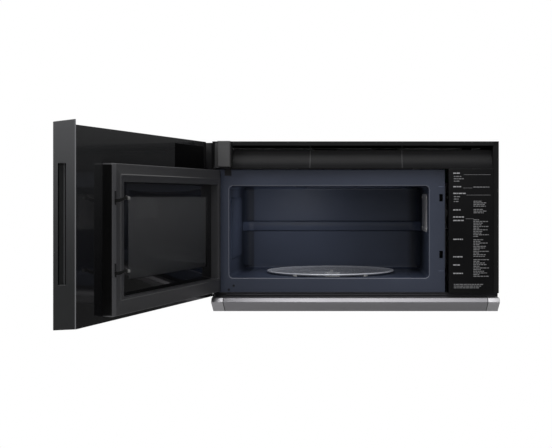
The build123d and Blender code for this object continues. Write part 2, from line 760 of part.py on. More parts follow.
with BuildPart() as charcoal_filter:
    slab(
        (-filter_rail_x + 0.3, filter_rail_x - 0.3),
        (ramp_top_y + ramp_thick + 0.3, filter_back_y),
        (band_bottom_z + 1.6, ramp_top_z - 2),
    )
    with Locations((0, (ramp_top_y + filter_back_y) / 2, (band_bottom_z + ramp_top_z) / 2)):
        with GridLocations(24, 1, 12, 1):
            for dz in (-12, 10):
                with Locations((0, 0, dz)):
                    Box(18, 40, 16, mode=Mode.SUBTRACT)
charcoal_filter.part.label = "charcoal_filter"
export_step(charcoal_filter.part, "parts/charcoal_filter.step")

# Plate over the upward exhaust opening, screwed on the top.
cover_plate_thick = 1.0
with BuildPart() as exhaust_cover:
    slab(
        (-exhaust_length / 2 - 12, exhaust_length / 2 + 12),
        (exhaust_y - exhaust_width / 2 - 12, exhaust_y + exhaust_width / 2 + 12),
        (top_z, top_z + cover_plate_thick),
    )
    slab(
        (-exhaust_length / 2 + 0.3, exhaust_length / 2 - 0.3),
        (exhaust_y - exhaust_width / 2 + 0.3, exhaust_y + exhaust_width / 2 - 0.3),
        (top_z - 3, top_z),
    )
exhaust_cover.part.label = "exhaust_cover"
export_step(exhaust_cover.part, "parts/exhaust_cover.step")

# ------------------------------------------------------------ front pieces
# Guide panel right of the mouth.
guide_wall = 2.0
with BuildPart() as guide_panel:
    slab((guide_left_x, flange_x - 0.3), (bezel_y, face_y), (sill_top_z, band_bottom_z - 0.3))
    fillet(guide_panel.edges().filter_by(Axis.Z).group_by(Axis.X)[0].group_by(Axis.Y)[0], radius=1.5)
    slab(
        (guide_left_x + guide_wall, flange_x),
        (bezel_y + guide_wall, face_y + 1),
        (sill_top_z + guide_wall, band_bottom_z - 0.3 - guide_wall),
        mode=Mode.SUBTRACT,
    )
guide_panel.part.label = "guide_panel"
export_step(guide_panel.part, "parts/guide_panel.step")

# Sill below the face plate, with a thin ledge.
ledge_proud = 3.0
bracket_right_x = pin_x + hinge_bracket_reach - 10.0
with BuildPart() as front_sill:
    slab((-inner_x, inner_x), (face_y, face_y + sill_thick), (bottom_z, sill_top_z))
    slab(
        (bracket_right_x + 1, inner_x),
        (face_y - ledge_proud, face_y),
        (sill_lip_top_z - sill_lip_height, sill_lip_top_z),
    )
front_sill.part.label = "front_sill"
export_step(front_sill.part, "parts/front_sill.step")

# Trim bar: leaning upper face and an underside that runs back to the sill.
bar_profile = [
    (face_y, bar_top_z),
    (bar_front_y + bar_lean, bar_top_z),
    (bar_front_y, bar_edge_z),
    (face_y, bottom_z),
]
bar_half = half_w - bar_cap_length
with BuildPart() as trim_bar:
    with BuildSketch(Plane.YZ.offset(-bar_half + 0.2)):
        with BuildLine():
            Polyline(*bar_profile, close=True)
        make_face()
        offset(amount=-bar_wall, kind=Kind.INTERSECTION, mode=Mode.SUBTRACT)
    extrude(amount=2 * bar_half - 0.4)
trim_bar.part.label = "trim_bar"
export_step(trim_bar.part, "parts/trim_bar.step")

with BuildPart() as trim_bar_caps:
    for start_x in (-half_w, bar_half):
        with BuildSketch(Plane.YZ.offset(start_x)):
            with BuildLine():
                Polyline(*bar_profile, close=True)
            make_face()
        extrude(amount=bar_cap_length)
trim_bar_caps.part.label = "trim_bar_caps"
export_step(trim_bar_caps.part, "parts/trim_bar_caps.step")

# Hinge brackets, each with its pin, and the cover over the upper one.
bracket_top_z = cover_bottom_z
bracket_bottom_z = bracket_top_z - hinge_leaf_thick
pin_drop = 11.0
with BuildPart() as hinge_bracket_upper:
    bracket_end_x = pin_x + hinge_bracket_reach
    slab((pin_x - 3, bracket_end_x), (pin_y + 2, left_edge_y - 0.2), (bracket_bottom_z, bracket_top_z))
    slab(
        (left_flange_x + 0.2, bracket_end_x),
        (left_edge_y - 0.2, face_y),
        (bracket_bottom_z, bracket_top_z),
    )
    rod((pin_x, pin_y, bracket_bottom_z + hinge_leaf_thick / 2), hinge_lug_radius, hinge_leaf_thick)
    slab((pin_x - 3, pin_x + hinge_lug_radius), (pin_y, pin_y + 3), (bracket_bottom_z, bracket_top_z))
    slab(about(pin_x + 34.5, 18), (face_y - 0.8, face_y), (bracket_bottom_z - 19.7, bracket_bottom_z + 1))
    rod((pin_x, pin_y, bracket_bottom_z - pin_drop / 2), hinge_pin_radius, pin_drop)
hinge_bracket_upper.part.label = "hinge_bracket_upper"
export_step(hinge_bracket_upper.part, "parts/hinge_bracket_upper.step")

lower_bracket_top_z = door_bottom_z - 2.0
lower_bracket_bottom_z = bar_top_z + 0.2
with BuildPart() as hinge_bracket_lower:
    slab((pin_x - 3, bracket_right_x), (pin_y + 2, face_y), (lower_bracket_bottom_z, lower_bracket_top_z))
    rod(
        (pin_x, pin_y, (lower_bracket_bottom_z + lower_bracket_top_z) / 2),
        hinge_lug_radius,
        lower_bracket_top_z - lower_bracket_bottom_z,
    )
    slab(
        (pin_x - 3, pin_x + hinge_lug_radius),
        (pin_y, pin_y + 3),
        (lower_bracket_bottom_z, lower_bracket_top_z),
    )
    slab((pin_x - 3, bracket_right_x), (face_y - 2, face_y), (lower_bracket_bottom_z, sill_top_z - 1))
    rod((pin_x, pin_y, lower_bracket_top_z + 4), hinge_pin_radius, 8)
hinge_bracket_lower.part.label = "hinge_bracket_lower"
export_step(hinge_bracket_lower.part, "parts/hinge_bracket_lower.step")

with BuildPart() as hinge_cover:
    slab((cover_left_x, cover_right_x), (cover_front_y, bezel_y + 2), (cover_bottom_z, top_z))
    front_edges = hinge_cover.faces().sort_by(Axis.Y)[0].edges()
    chamfer(front_edges, length=2.2)
    slab(
        (-half_w + sheet + 0.3, cover_right_x),
        (left_edge_y + sheet + 0.2, face_y),
        (cover_bottom_z, top_z - sheet - seam),
    )
    slab(
        (cover_left_x, cover_right_x),
        (bezel_y + 1, left_edge_y + 3),
        (cover_bottom_z, top_z - sheet - seam),
    )
hinge_cover.part.label = "hinge_cover"
export_step(hinge_cover.part, "parts/hinge_cover.step")

# --------------------------------------------------------------- interlock
# Holder behind the face plate with switches and their sprung plungers.
holder_x = (shell_right_x + 9, face_right_x + 3)
holder_front_y = face_y + sheet
holder_back_y = face_y + holder_depth
holder_z = (latch_lower_z - 33.0, latch_upper_z + 35.0)
hook_depth = hook_reach - (face_y - (pin_y + choke_face_v))
plunger_front_y = face_y + hook_depth + 0.5
with BuildPart() as latch_holder:
    slab(holder_x, (holder_front_y, holder_back_y), holder_z)
    slab((holder_x[0] + 4, holder_x[1] - 4), (holder_front_y - 1, holder_back_y - 14),
         (holder_z[0] + 6, holder_z[1] - 6), mode=Mode.SUBTRACT)
    for slot_z in (latch_upper_z, latch_lower_z):
        rod((latch_x, holder_back_y - 7, slot_z), 3.0 + running_gap, 30, ALONG_Y, Mode.SUBTRACT)
latch_holder.part.label = "latch_holder"
export_step(latch_holder.part, "parts/latch_holder.step")

switch_front_y = holder_back_y + plunger_travel + 2.2
with BuildPart() as door_switches:
    for slot_z in (latch_upper_z, latch_lower_z):
        slab((latch_x - 6, latch_x + 6), (switch_front_y, switch_front_y + 18), (slot_z - 14, slot_z + 14))
        for side in (-1, 1):
            arm = sorted((slot_z + side * 14, slot_z + side * 10))
            slab((latch_x - 6, latch_x + 6), (holder_back_y, switch_front_y + 1), arm)
door_switches.part.label = "door_switches"
export_step(door_switches.part, "parts/door_switches.step")

for slot_z, name in ((latch_upper_z, "switch_plunger_upper"), (latch_lower_z, "switch_plunger_lower")):
    with BuildPart() as plunger:
        rod(
            (latch_x, (plunger_front_y + holder_back_y + 2) / 2, slot_z),
            3.0,
            holder_back_y + 2 - plunger_front_y,
            ALONG_Y,
        )
        rod((latch_x, plunger_front_y + 1.5, slot_z), 5.0, 3.0, ALONG_Y)
    plunger.part.label = name
    export_step(plunger.part, f"parts/{name}.step")

# ---------------------------------------------------------------- turntable
with BuildPart() as turntable_motor:
    rod((cavity_centre_x, tray_y, well_floor_z - sheet - 10.1), 25, 20)
    slab(
        (cavity_centre_x - 34, cavity_centre_x + 34),
        (tray_y - 6, tray_y + 6),
        (well_floor_z - sheet - 4, well_floor_z - sheet),
    )
    rod((cavity_centre_x, tray_y, well_floor_z - 4), spindle_radius, 24)
turntable_motor.part.label = "turntable_motor"
export_step(turntable_motor.part, "parts/turntable_motor.step")

coupler_bottom_z = well_floor_z + 0.8
coupler_top_z = tray_bottom_z
with BuildPart() as turntable_coupler:
    rod(
        (cavity_centre_x, tray_y, (coupler_bottom_z + coupler_top_z) / 2),
        12,
        coupler_top_z - coupler_bottom_z,
    )
    with Locations((cavity_centre_x, tray_y, (coupler_bottom_z + coupler_top_z) / 2)):
        with PolarLocations(17, 3):
            Box(18, 8, coupler_top_z - coupler_bottom_z)
    rod((cavity_centre_x, tray_y, coupler_bottom_z), spindle_radius + running_gap, 20, mode=Mode.SUBTRACT)
turntable_coupler.part.label = "turntable_coupler"
export_step(turntable_coupler.part, "parts/turntable_coupler.step")

with BuildPart() as glass_tray:
    with BuildSketch(Plane.XZ.offset(-tray_y)):
        with BuildLine():
            Polyline(
                (cavity_centre_x, tray_bottom_z),
                (cavity_centre_x + tray_radius - 30, tray_bottom_z),
                (cavity_centre_x + tray_radius - 8, tray_bottom_z + tray_height - 4),
                (cavity_centre_x + tray_radius, tray_bottom_z + tray_height - 2.5),
                (cavity_centre_x + tray_radius, tray_bottom_z + tray_height),
                (cavity_centre_x + tray_radius - 10, tray_bottom_z + tray_height - 0.7),
                (cavity_centre_x + tray_radius - 31, tray_bottom_z + tray_glass),
                (cavity_centre_x, tray_bottom_z + tray_glass),
                close=True,
            )
        make_face()
    revolve(axis=Axis((cavity_centre_x, tray_y, 0), (0, 0, 1)))
glass_tray.part.label = "glass_tray"
export_step(glass_tray.part, "parts/glass_tray.step")

ring_z = well_floor_z + roller_radius
with BuildPart() as roller_ring:
    rod((cavity_centre_x, tray_y, ring_z), roller_circle - 7, 6)
    rod((cavity_centre_x, tray_y, ring_z), roller_circle - 13, 8, mode=Mode.SUBTRACT)
    with Locations((cavity_centre_x, tray_y, ring_z)):
        with PolarLocations(roller_circle + 1, 3, start_angle=90):
            Cylinder(roller_pin_radius, 18, rotation=(0, 90, 0))
roller_ring.part.label = "roller_ring"
export_step(roller_ring.part, "parts/roller_ring.step")

for k in range(3):
    name = f"roller_{k + 1}"
    with BuildPart() as roller:
        with Locations((cavity_centre_x, tray_y, ring_z)):
            with PolarLocations(roller_circle + 2, 1, start_angle=90 + k * 120):
                Cylinder(roller_radius - 0.1, roller_width, rotation=(0, 90, 0))
                Cylinder(
                    roller_pin_radius + running_gap,
                    roller_width + 4,
                    rotation=(0, 90, 0),
                    mode=Mode.SUBTRACT,
                )
    roller.part.label = name
    export_step(roller.part, f"parts/{name}.step")

# -------------------------------------------------------------------- lamps
with BuildPart() as oven_lamp:
    lamp_box_y = about(magnetron_y - 22, 58)
    lamp_box_z = about(magnetron_z + 20, 38)
    slab((shell_left_x - 34, shell_left_x), lamp_box_y, lamp_box_z)
    slab((shell_left_x - 32.5, shell_left_x + 1), (lamp_box_y[0] + 1.5, lamp_box_y[1] - 1.5),
         (lamp_box_z[0] + 1.5, lamp_box_z[1] - 1.5), mode=Mode.SUBTRACT)
    rod((shell_left_x - 16, lamp_box_y[0] + 13, magnetron_z + 20), 7, 24, ALONG_Y)
    rod((shell_left_x - 16, lamp_box_y[0] + 32, magnetron_z + 20), 9, 22, ALONG_Y)
oven_lamp.part.label = "oven_lamp"
export_step(oven_lamp.part, "parts/oven_lamp.step")

with BuildPart() as cooktop_lamps:
    for side in (-1, 1):
        cx = side * lamp_x
        for edge in (-1, 1):
            wall = sorted((lamp_y + edge * (lens_width / 2 + 3), lamp_y + edge * (lens_width / 2 + 2)))
            slab((cx - lens_length / 2 - 3, cx + lens_length / 2 + 3), wall, (pan_top_z, pan_top_z + 24))
        slab((cx - lens_length / 2 - 3, cx + lens_length / 2 + 3),
             (lamp_y - lens_width / 2 - 3, lamp_y + lens_width / 2 + 3), (pan_top_z + 23, pan_top_z + 24))
        rod((cx, lamp_y, pan_top_z + 18), 14, 10.2)
cooktop_lamps.part.label = "cooktop_lamps"
export_step(cooktop_lamps.part, "parts/cooktop_lamps.step")

with BuildPart() as lamp_lenses:
    for side in (-1, 1):
        cx = side * lamp_x
        slab((cx - lens_length / 2 + 0.3, cx + lens_length / 2 - 0.3),
             (lamp_y - lens_width / 2 + 0.3, lamp_y + lens_width / 2 - 0.3), (bottom_z, pan_top_z))
        slab((cx - lens_length / 2 - 1.5, cx + lens_length / 2 + 1.5),
             (lamp_y - lens_width / 2 - 1.5, lamp_y + lens_width / 2 + 1.5), (pan_top_z, pan_top_z + 1.5))
lamp_lenses.part.label = "lamp_lenses"
export_step(lamp_lenses.part, "parts/lamp_lenses.step")

# Grease filters, each in its opening and pulled out downwards.
for side, name in ((-1, "grease_filter_left"), (1, "grease_filter_right")):
    cx = side * filter_x
    half_l = filter_length / 2 - filter_runner_gap
    half_f = filter_width / 2 - filter_gap
    with BuildPart() as grease_filter:
        slab(
            (cx - half_l, cx + half_l),
            (filter_y - half_f, filter_y + half_f),
            (bottom_z, bottom_z + filter_thick),
        )
        for edge in (-1, 1):
            inner = sorted((filter_y + edge * 4, filter_y + edge * (half_f - 8)))
            slab(
                (cx - half_l + 8, cx + half_l - 8),
                inner,
                (bottom_z + 3, bottom_z + filter_thick + 1),
                mode=Mode.SUBTRACT,
            )
            slab(
                (cx - half_l + 8, cx + half_l - 8),
                inner,
                (bottom_z - 1, bottom_z + 1.8),
                mode=Mode.SUBTRACT,
            )
        slab((cx - 9, cx + 9), (filter_y - half_f + 2, filter_y - half_f + 6), (bottom_z - 4, bottom_z))
    grease_filter.part.label = name
    export_step(grease_filter.part, f"parts/{name}.step")

# Screws: two on the face plate and four on the exhaust cover.
with BuildPart() as cabinet_screws:
    for dx, dz in ((46.0, 17.2), (33.0, 6.8)):
        rod((face_left_x + dx, face_y - 0.4, face_bottom_z + dz), 3.0, 0.8, ALONG_Y)
    for x in (-exhaust_length / 2 - 6, exhaust_length / 2 + 6):
        for y in (exhaust_y - 30, exhaust_y + 30):
            rod((x, y, top_z + cover_plate_thick + 0.8), 3.2, 1.6)
cabinet_screws.part.label = "cabinet_screws"
export_step(cabinet_screws.part, "parts/cabinet_screws.step")

# ===================================================================== door
# Dark outer glass.
glass_end_u = door_end_u - 9.0
with BuildPart(door_plane) as door_glass:
    slab((door_left_u, glass_end_u), (door_front_v, glass_back_v), (door_bottom_z, top_z))
    front_corner = door_plane.from_local_coords((door_left_u, door_front_v, 0))
    fillet(door_glass.edges().filter_by(Axis.Z).sort_by_distance(front_corner)[0], radius=1.5)
door_glass.part.label = "door_glass"
export_step(door_glass.part, "parts/door_glass.step")

# Core: rails behind the glass, cleared for hinge leaves, lugs and hinge cover.
upper_lug_z = (hinge_leaf_top_z - 2 * hinge_leaf_thick - 5, bracket_top_z + bracket_lug_gap)
lower_lug_z = (door_bottom_z - 3, door_bottom_z + 11)
with BuildPart(door_plane) as door_core:
    slab((door_left_u, liner_end_u), (glass_back_v, core_back_v), (door_bottom_z, liner_top_z))
    mullion = (choke_right_u - 36, choke_right_u - 4)
    crossrail = (recess_top_z + 6, choke_top_z - 4)
    for bay_u in ((door_left_u + core_rail, mullion[0]), (mullion[1], liner_end_u - core_rail)):
        slab(
            bay_u,
            (glass_back_v - 1, core_back_v + 1),
            (door_bottom_z + core_rail, crossrail[0]),
            mode=Mode.SUBTRACT,
        )
        slab(
            bay_u,
            (glass_back_v - 1, core_back_v + 1),
            (crossrail[1], liner_top_z - core_rail),
            mode=Mode.SUBTRACT,
        )
    slab((latch_u - 7, latch_u + 7), (core_back_v - 6, core_back_v + 1),
         (latch_pocket_z[0] - 2, latch_pocket_z[1] + 2), mode=Mode.SUBTRACT)
    slab(hinge_notch_u, hinge_notch_v, hinge_notch_z, mode=Mode.SUBTRACT)
    for leaf_z in (hinge_leaf_top_z - hinge_leaf_thick, door_bottom_z):
        slab(
            (door_left_u - 1, door_left_u + hinge_leaf_length + 0.2),
            (-16.2, 0),
            (leaf_z - 0.2, leaf_z + hinge_leaf_thick + 0.2),
            mode=Mode.SUBTRACT,
        )
    for lug_z in (upper_lug_z, lower_lug_z):
        rod(
            (0, 0, sum(lug_z) / 2),
            hinge_lug_radius + bracket_lug_gap,
            lug_z[1] - lug_z[0],
            mode=Mode.SUBTRACT,
        )
door_core.part.label = "door_core"
export_step(door_core.part, "parts/door_core.step")

# Hinge leaves let into the core.
upper_leaf_z = hinge_leaf_top_z - hinge_leaf_thick
for leaf_z, name in ((upper_leaf_z, "hinge_leaf_upper"), (door_bottom_z, "hinge_leaf_lower")):
    with BuildPart(door_plane) as hinge_leaf:
        slab(
            (door_left_u, door_left_u + hinge_leaf_length),
            (-16, core_back_v - 0.2),
            (leaf_z, leaf_z + hinge_leaf_thick),
        )
        slab((door_left_u, hinge_lug_radius), (-6, 0), (leaf_z, leaf_z + hinge_leaf_thick))
        rod((0, 0, leaf_z + hinge_leaf_thick / 2), hinge_lug_radius, hinge_leaf_thick)
        rod((0, 0, leaf_z), hinge_pin_radius + hinge_running_gap, 20, mode=Mode.SUBTRACT)
    hinge_leaf.part.label = name
    export_step(hinge_leaf.part, f"parts/{name}.step")

# Glossy liner, open where the choke frame stands through it.
liner_hole_gap = 0.3
with BuildPart(door_plane) as door_liner:
    slab((door_left_u, liner_end_u), (core_back_v, liner_back_v), (door_bottom_z, liner_top_z))
    slab(
        (choke_left_u - liner_hole_gap, choke_right_u + liner_hole_gap),
        (core_back_v - 1, liner_back_v + 1),
        (choke_bottom_z - liner_hole_gap, choke_top_z + liner_hole_gap),
        mode=Mode.SUBTRACT,
    )
    slab(hinge_notch_u, hinge_notch_v, hinge_notch_z, mode=Mode.SUBTRACT)
    for lug_z in (upper_lug_z, lower_lug_z):
        rod(
            (0, 0, sum(lug_z) / 2),
            hinge_lug_radius + bracket_lug_gap,
            lug_z[1] - lug_z[0],
            mode=Mode.SUBTRACT,
        )
door_liner.part.label = "door_liner"
export_step(door_liner.part, "parts/door_liner.step")

# Choke frame: raised ring round the window recess, with a bead and hook slots.
recess_u = (recess_left_u + recess_right_u) / 2
recess_z = (recess_bottom_z + recess_top_z) / 2
hook_slot_height = 29.0
with BuildPart(door_plane) as choke_frame:
    slab(
        (choke_left_u, choke_right_u),
        (core_back_v, choke_face_v - choke_ridge),
        (choke_bottom_z, choke_top_z),
    )
    across = choke_frame.edges().filter_by(Axis.Z, reverse=True)
    corners = [e for e in across if abs(e.length - (choke_face_v - choke_ridge - core_back_v)) < 0.01]
    fillet(corners, radius=choke_corner)
    face_rim = choke_frame.faces().filter_by(GeomType.PLANE).sort_by_distance(
        door_plane.from_local_coords((recess_u, choke_face_v + 40, recess_z)))[0].edges()
    chamfer(face_rim, length=1.5)
    slab(
        (recess_left_u - 14, recess_right_u + 16),
        (choke_face_v - 3, choke_face_v),
        (recess_bottom_z - 5, recess_top_z + 16),
    )
    slab((recess_left_u - 11, recess_right_u + 13), (choke_face_v - choke_ridge, choke_face_v + 1),
         (recess_bottom_z - 2, recess_top_z + 13), mode=Mode.SUBTRACT)
    slab(
        (recess_left_u, recess_right_u),
        (core_back_v - 1, choke_face_v + 1),
        (recess_bottom_z, recess_top_z),
        mode=Mode.SUBTRACT,
    )
    # pocket for the latch bar and the two slots that its hooks come through
    slab(
        (latch_u - 5, latch_u + 5),
        (core_back_v - 1, choke_face_v - 6),
        latch_pocket_z,
        mode=Mode.SUBTRACT,
    )
    for slot_z in (latch_upper_z, latch_lower_z):
        slab((latch_u - 4, latch_u + 4), (0, choke_face_v + 1),
             (slot_z - hook_slot_height / 2, slot_z + hook_slot_height / 2), mode=Mode.SUBTRACT)
    # and a relief round the lug of the upper hinge leaf
    leaf_relief_z = (upper_leaf_z - 0.1, hinge_leaf_top_z + 0.1)
    rod(
        (0, 0, sum(leaf_relief_z) / 2),
        hinge_lug_radius + bracket_lug_gap,
        leaf_relief_z[1] - leaf_relief_z[0],
        mode=Mode.SUBTRACT,
    )
choke_frame.part.label = "choke_frame"
export_step(choke_frame.part, "parts/choke_frame.step")

# Perforated screen and the inner window glass in front of it.
with BuildPart(door_plane) as door_screen:
    slab((recess_left_u + 0.3, recess_right_u - 0.3), (core_back_v + 0.3, core_back_v + 1.1),
         (recess_bottom_z + 0.3, recess_top_z - 0.3))
    screen_width = recess_right_u - recess_left_u - 2 * screen_margin
    screen_height = recess_top_z - recess_bottom_z - 2 * screen_margin
    columns = int(screen_width / screen_hole_pitch)
    rows = int(screen_height / screen_hole_pitch)
    screen_u = recess_u
    screen_z = recess_z
    for row in range(rows):
        z = screen_z + (row - (rows - 1) / 2) * screen_hole_pitch
        with Locations((screen_u, core_back_v + 0.7, z)):
            with GridLocations(screen_hole_pitch, 1, columns, 1):
                Cylinder(6, 4, rotation=ALONG_Y, mode=Mode.SUBTRACT)
door_screen.part.label = "door_screen"
export_step(door_screen.part, "parts/door_screen.step")

with BuildPart(door_plane) as window_glass:
    slab((recess_left_u + 0.3, recess_right_u - 0.3), (core_back_v + 1.2, core_back_v + 4.2),
         (recess_bottom_z + 0.3, recess_top_z - 0.3))
window_glass.part.label = "window_glass"
export_step(window_glass.part, "parts/window_glass.step")

# End cap: slanted side face with the pocket handle and a raised inner lip.
lean = Vector(door_end_u - liner_end_u, door_front_v + 2 - liner_back_v)
slant_length = lean.length
with BuildPart(door_plane) as end_cap:
    with BuildSketch(door_plane.offset(door_bottom_z)):
        with BuildLine():
            Polyline(
                (liner_end_u, liner_back_v),
                (door_end_u, door_front_v + 2),
                (door_end_u, door_front_v),
                (glass_end_u, door_front_v),
                (glass_end_u, glass_back_v),
                (liner_end_u, glass_back_v),
                close=True,
            )
        make_face()
    extrude(amount=top_z + lip_rise - door_bottom_z)
    # top that climbs from the glass to the inner lip
    side_plane = Plane(
        origin=door_plane.from_local_coords((liner_end_u - 5, 0, 0)),
        x_dir=door_plane.y_dir,
        z_dir=door_plane.x_dir,
    )
    with BuildSketch(side_plane):
        with BuildLine():
            Polyline(
                (door_front_v - 1, top_z),
                (liner_back_v + 1, top_z + lip_rise),
                (liner_back_v + 1, top_z + 3 * lip_rise),
                (door_front_v - 1, top_z + 3 * lip_rise),
                close=True,
            )
        make_face()
    extrude(amount=60, mode=Mode.SUBTRACT)
    # finger pocket, square to the slanted face
    pocket_middle = 1 - (handle_from_front + handle_width / 2) / slant_length
    pocket_place = Location(
        (
            liner_end_u + lean.X * pocket_middle,
            liner_back_v + lean.Y * pocket_middle,
            (handle_top_z + handle_bottom_z) / 2,
        ),
        (0, 0, degrees(atan2(lean.Y, lean.X))),
    )
    with Locations(pocket_place):
        Box(handle_width, 2 * handle_depth, handle_top_z - handle_bottom_z, mode=Mode.SUBTRACT)
end_cap.part.label = "end_cap"
export_step(end_cap.part, "parts/end_cap.step")

# Touch board behind the foot of the glass.
touch_u = about(recess_right_u - 135, 260)
touch_z = door_bottom_z + 39.0
with BuildPart(door_plane) as touch_board:
    slab(touch_u, (glass_back_v, glass_back_v + board_thick), (touch_z - 20, touch_z + 20))
    for k in range(5):
        slab(
            about(touch_u[0] + 40 + k * 45, 20),
            (glass_back_v + board_thick, glass_back_v + 5),
            about(touch_z, 14),
        )
    slab(about(touch_u[0] + 130, 20), (glass_back_v, glass_back_v + board_thick),
         (door_bottom_z + core_rail, touch_z - 20))
touch_board.part.label = "touch_board"
export_step(touch_board.part, "parts/touch_board.step")

# Door latch: one upright bar with two hooks, lifted against a spring.
bar_v = (choke_face_v - 16, choke_face_v - 7)
latch_plane = Plane(
    origin=door_plane.from_local_coords((latch_u - hook_thick / 2, 0, 0)),
    x_dir=door_plane.y_dir,
    z_dir=door_plane.x_dir,
)
tip_v = choke_face_v + hook_reach
hook_crown = latch_slot_height / 2 - latch_travel - 0.6
with BuildPart() as door_latch:
    with BuildSketch(latch_plane):
        with Locations(((bar_v[0] + bar_v[1]) / 2, (latch_upper_z + latch_lower_z) / 2)):
            Rectangle(bar_v[1] - bar_v[0], latch_upper_z - latch_lower_z + 22)
        for slot_z in (latch_upper_z, latch_lower_z):
            with BuildLine():
                root_low = (bar_v[0] + 2, slot_z - 9)
                neck = (choke_face_v + 14, slot_z - 6)
                catch = (tip_v - 9, slot_z - 0.5)
                nose = (tip_v - 6, slot_z - 4)
                tip = (tip_v, slot_z + 1)
                crown = (tip_v - 9, slot_z + hook_crown)
                root_high = (bar_v[0] + 2, slot_z + 3)
                Polyline(root_high, root_low, neck, catch, nose, tip)
                Line(tip, crown)
                ThreePointArc(crown, (choke_face_v + 5, slot_z), root_high)
            make_face()
    extrude(amount=hook_thick)
door_latch.part.label = "door_latch"
export_step(door_latch.part, "parts/door_latch.step")

spring_bottom_z = (latch_upper_z + latch_lower_z) / 2 + (latch_upper_z - latch_lower_z + 22) / 2
with BuildPart(door_plane) as latch_spring:
    spring_z = (spring_bottom_z + latch_pocket_z[1]) / 2
    rod((latch_u, (bar_v[0] + bar_v[1]) / 2, spring_z), 3.2, latch_pocket_z[1] - spring_bottom_z)
    rod((latch_u, (bar_v[0] + bar_v[1]) / 2, spring_z), 2.2, 40, mode=Mode.SUBTRACT)
latch_spring.part.label = "latch_spring"
export_step(latch_spring.part, "parts/latch_spring.step")
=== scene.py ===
# %% [markdown]
# # An over-the-range microwave with its door standing open
#
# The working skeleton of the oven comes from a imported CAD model: real sheet
# metal, a hinge that turns, a tray that spins. This script dresses it. Each cell
# first says what a piece is on the real oven, then how it is made and why.
# All lengths are written in millimetres and turned into metres by MM.

# %% Load the frame
import contextlib
import json
import math

import bmesh
import bpy
import numpy as np
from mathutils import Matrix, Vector

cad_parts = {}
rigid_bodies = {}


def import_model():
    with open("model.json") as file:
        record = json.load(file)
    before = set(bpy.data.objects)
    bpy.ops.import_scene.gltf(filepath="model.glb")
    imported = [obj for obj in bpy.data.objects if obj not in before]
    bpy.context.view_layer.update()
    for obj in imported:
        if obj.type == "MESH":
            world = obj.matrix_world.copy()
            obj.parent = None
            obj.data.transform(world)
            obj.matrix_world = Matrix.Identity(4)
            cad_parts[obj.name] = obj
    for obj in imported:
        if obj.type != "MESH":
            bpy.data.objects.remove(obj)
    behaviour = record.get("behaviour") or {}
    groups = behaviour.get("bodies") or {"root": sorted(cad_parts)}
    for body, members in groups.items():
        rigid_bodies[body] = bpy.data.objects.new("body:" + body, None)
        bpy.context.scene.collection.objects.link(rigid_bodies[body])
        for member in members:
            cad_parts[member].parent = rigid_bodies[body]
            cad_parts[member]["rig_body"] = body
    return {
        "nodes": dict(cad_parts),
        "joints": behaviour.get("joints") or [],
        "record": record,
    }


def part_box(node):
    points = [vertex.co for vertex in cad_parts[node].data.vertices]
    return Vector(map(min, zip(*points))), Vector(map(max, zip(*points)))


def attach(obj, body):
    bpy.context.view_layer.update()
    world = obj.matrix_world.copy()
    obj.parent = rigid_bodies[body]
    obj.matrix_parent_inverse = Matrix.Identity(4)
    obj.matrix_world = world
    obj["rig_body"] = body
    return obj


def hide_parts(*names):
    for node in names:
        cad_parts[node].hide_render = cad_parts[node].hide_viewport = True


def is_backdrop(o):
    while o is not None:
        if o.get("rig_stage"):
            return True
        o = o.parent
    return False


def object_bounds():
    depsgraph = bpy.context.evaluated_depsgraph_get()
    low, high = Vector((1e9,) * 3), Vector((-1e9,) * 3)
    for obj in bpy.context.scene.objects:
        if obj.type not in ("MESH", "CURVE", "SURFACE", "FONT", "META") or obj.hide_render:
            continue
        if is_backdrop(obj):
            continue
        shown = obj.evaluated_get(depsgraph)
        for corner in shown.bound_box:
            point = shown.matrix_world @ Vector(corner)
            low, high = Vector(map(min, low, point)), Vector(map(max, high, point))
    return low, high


MM = 0.001
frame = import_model()
cad_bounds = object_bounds()
nodes = frame["nodes"]
body_of = {name: node["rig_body"] for name, node in nodes.items()}
slot_of = {entry["node"]: entry["material_slot"] for entry in frame["record"]["subparts"]}


def linked(name, data):
    """A new object of the scene."""
    thing = bpy.data.objects.new(name, data)
    bpy.context.scene.collection.objects.link(thing)
    return thing


# %% [markdown]
# ## Two spaces: the cabinet and the door
#
# The cabinet is square to the world, so its pieces are placed with X to the
# right, Y into the wall and Z up. The door stands open on its hinge pin, and a
# piece of the door is far easier to draw as if the door were shut and flat: u
# runs along the door from the pin, v points into the oven, z is up. One
# function turns such points into their place in the world.

# %% Measure nodes in both spaces
hinge = next(joint for joint in frame["joints"] if joint["name"] == "door_hinge")
OPEN_ANGLE = math.radians(hinge["range_deg"][1])
hinge_point = np.array(hinge["pos_m"]) / MM
hinge_foot = hinge_point * (1, 1, 0)
along_door = np.array([math.cos(OPEN_ANGLE), -math.sin(OPEN_ANGLE), 0.0])
into_door = np.array([math.sin(OPEN_ANGLE), math.cos(OPEN_ANGLE), 0.0])
upwards = np.array([0.0, 0.0, 1.0])


def cabinet_space(points):
    """Millimetres in the cabinet become metres."""
    return np.asarray(points, float) * MM


def door_space(points):
    """(u, v, z) on the shut door becomes pin + u along + v into + z up, in metres."""
    p = np.asarray(points, float)
    return (hinge_foot + p[..., :1] * along_door + p[..., 1:2] * into_door + p[..., 2:] * upwards) * MM


def corners_of(mesh):
    """Where a mesh's vertices lie, as an (n, 3) array."""
    flat = np.empty(len(mesh.vertices) * 3)
    mesh.vertices.foreach_get("co", flat)
    return flat.reshape(-1, 3)


def cabinet_box(node):
    """Lowest and highest corner of a node in millimetres."""
    low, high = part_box(node)
    return np.array(low) / MM, np.array(high) / MM


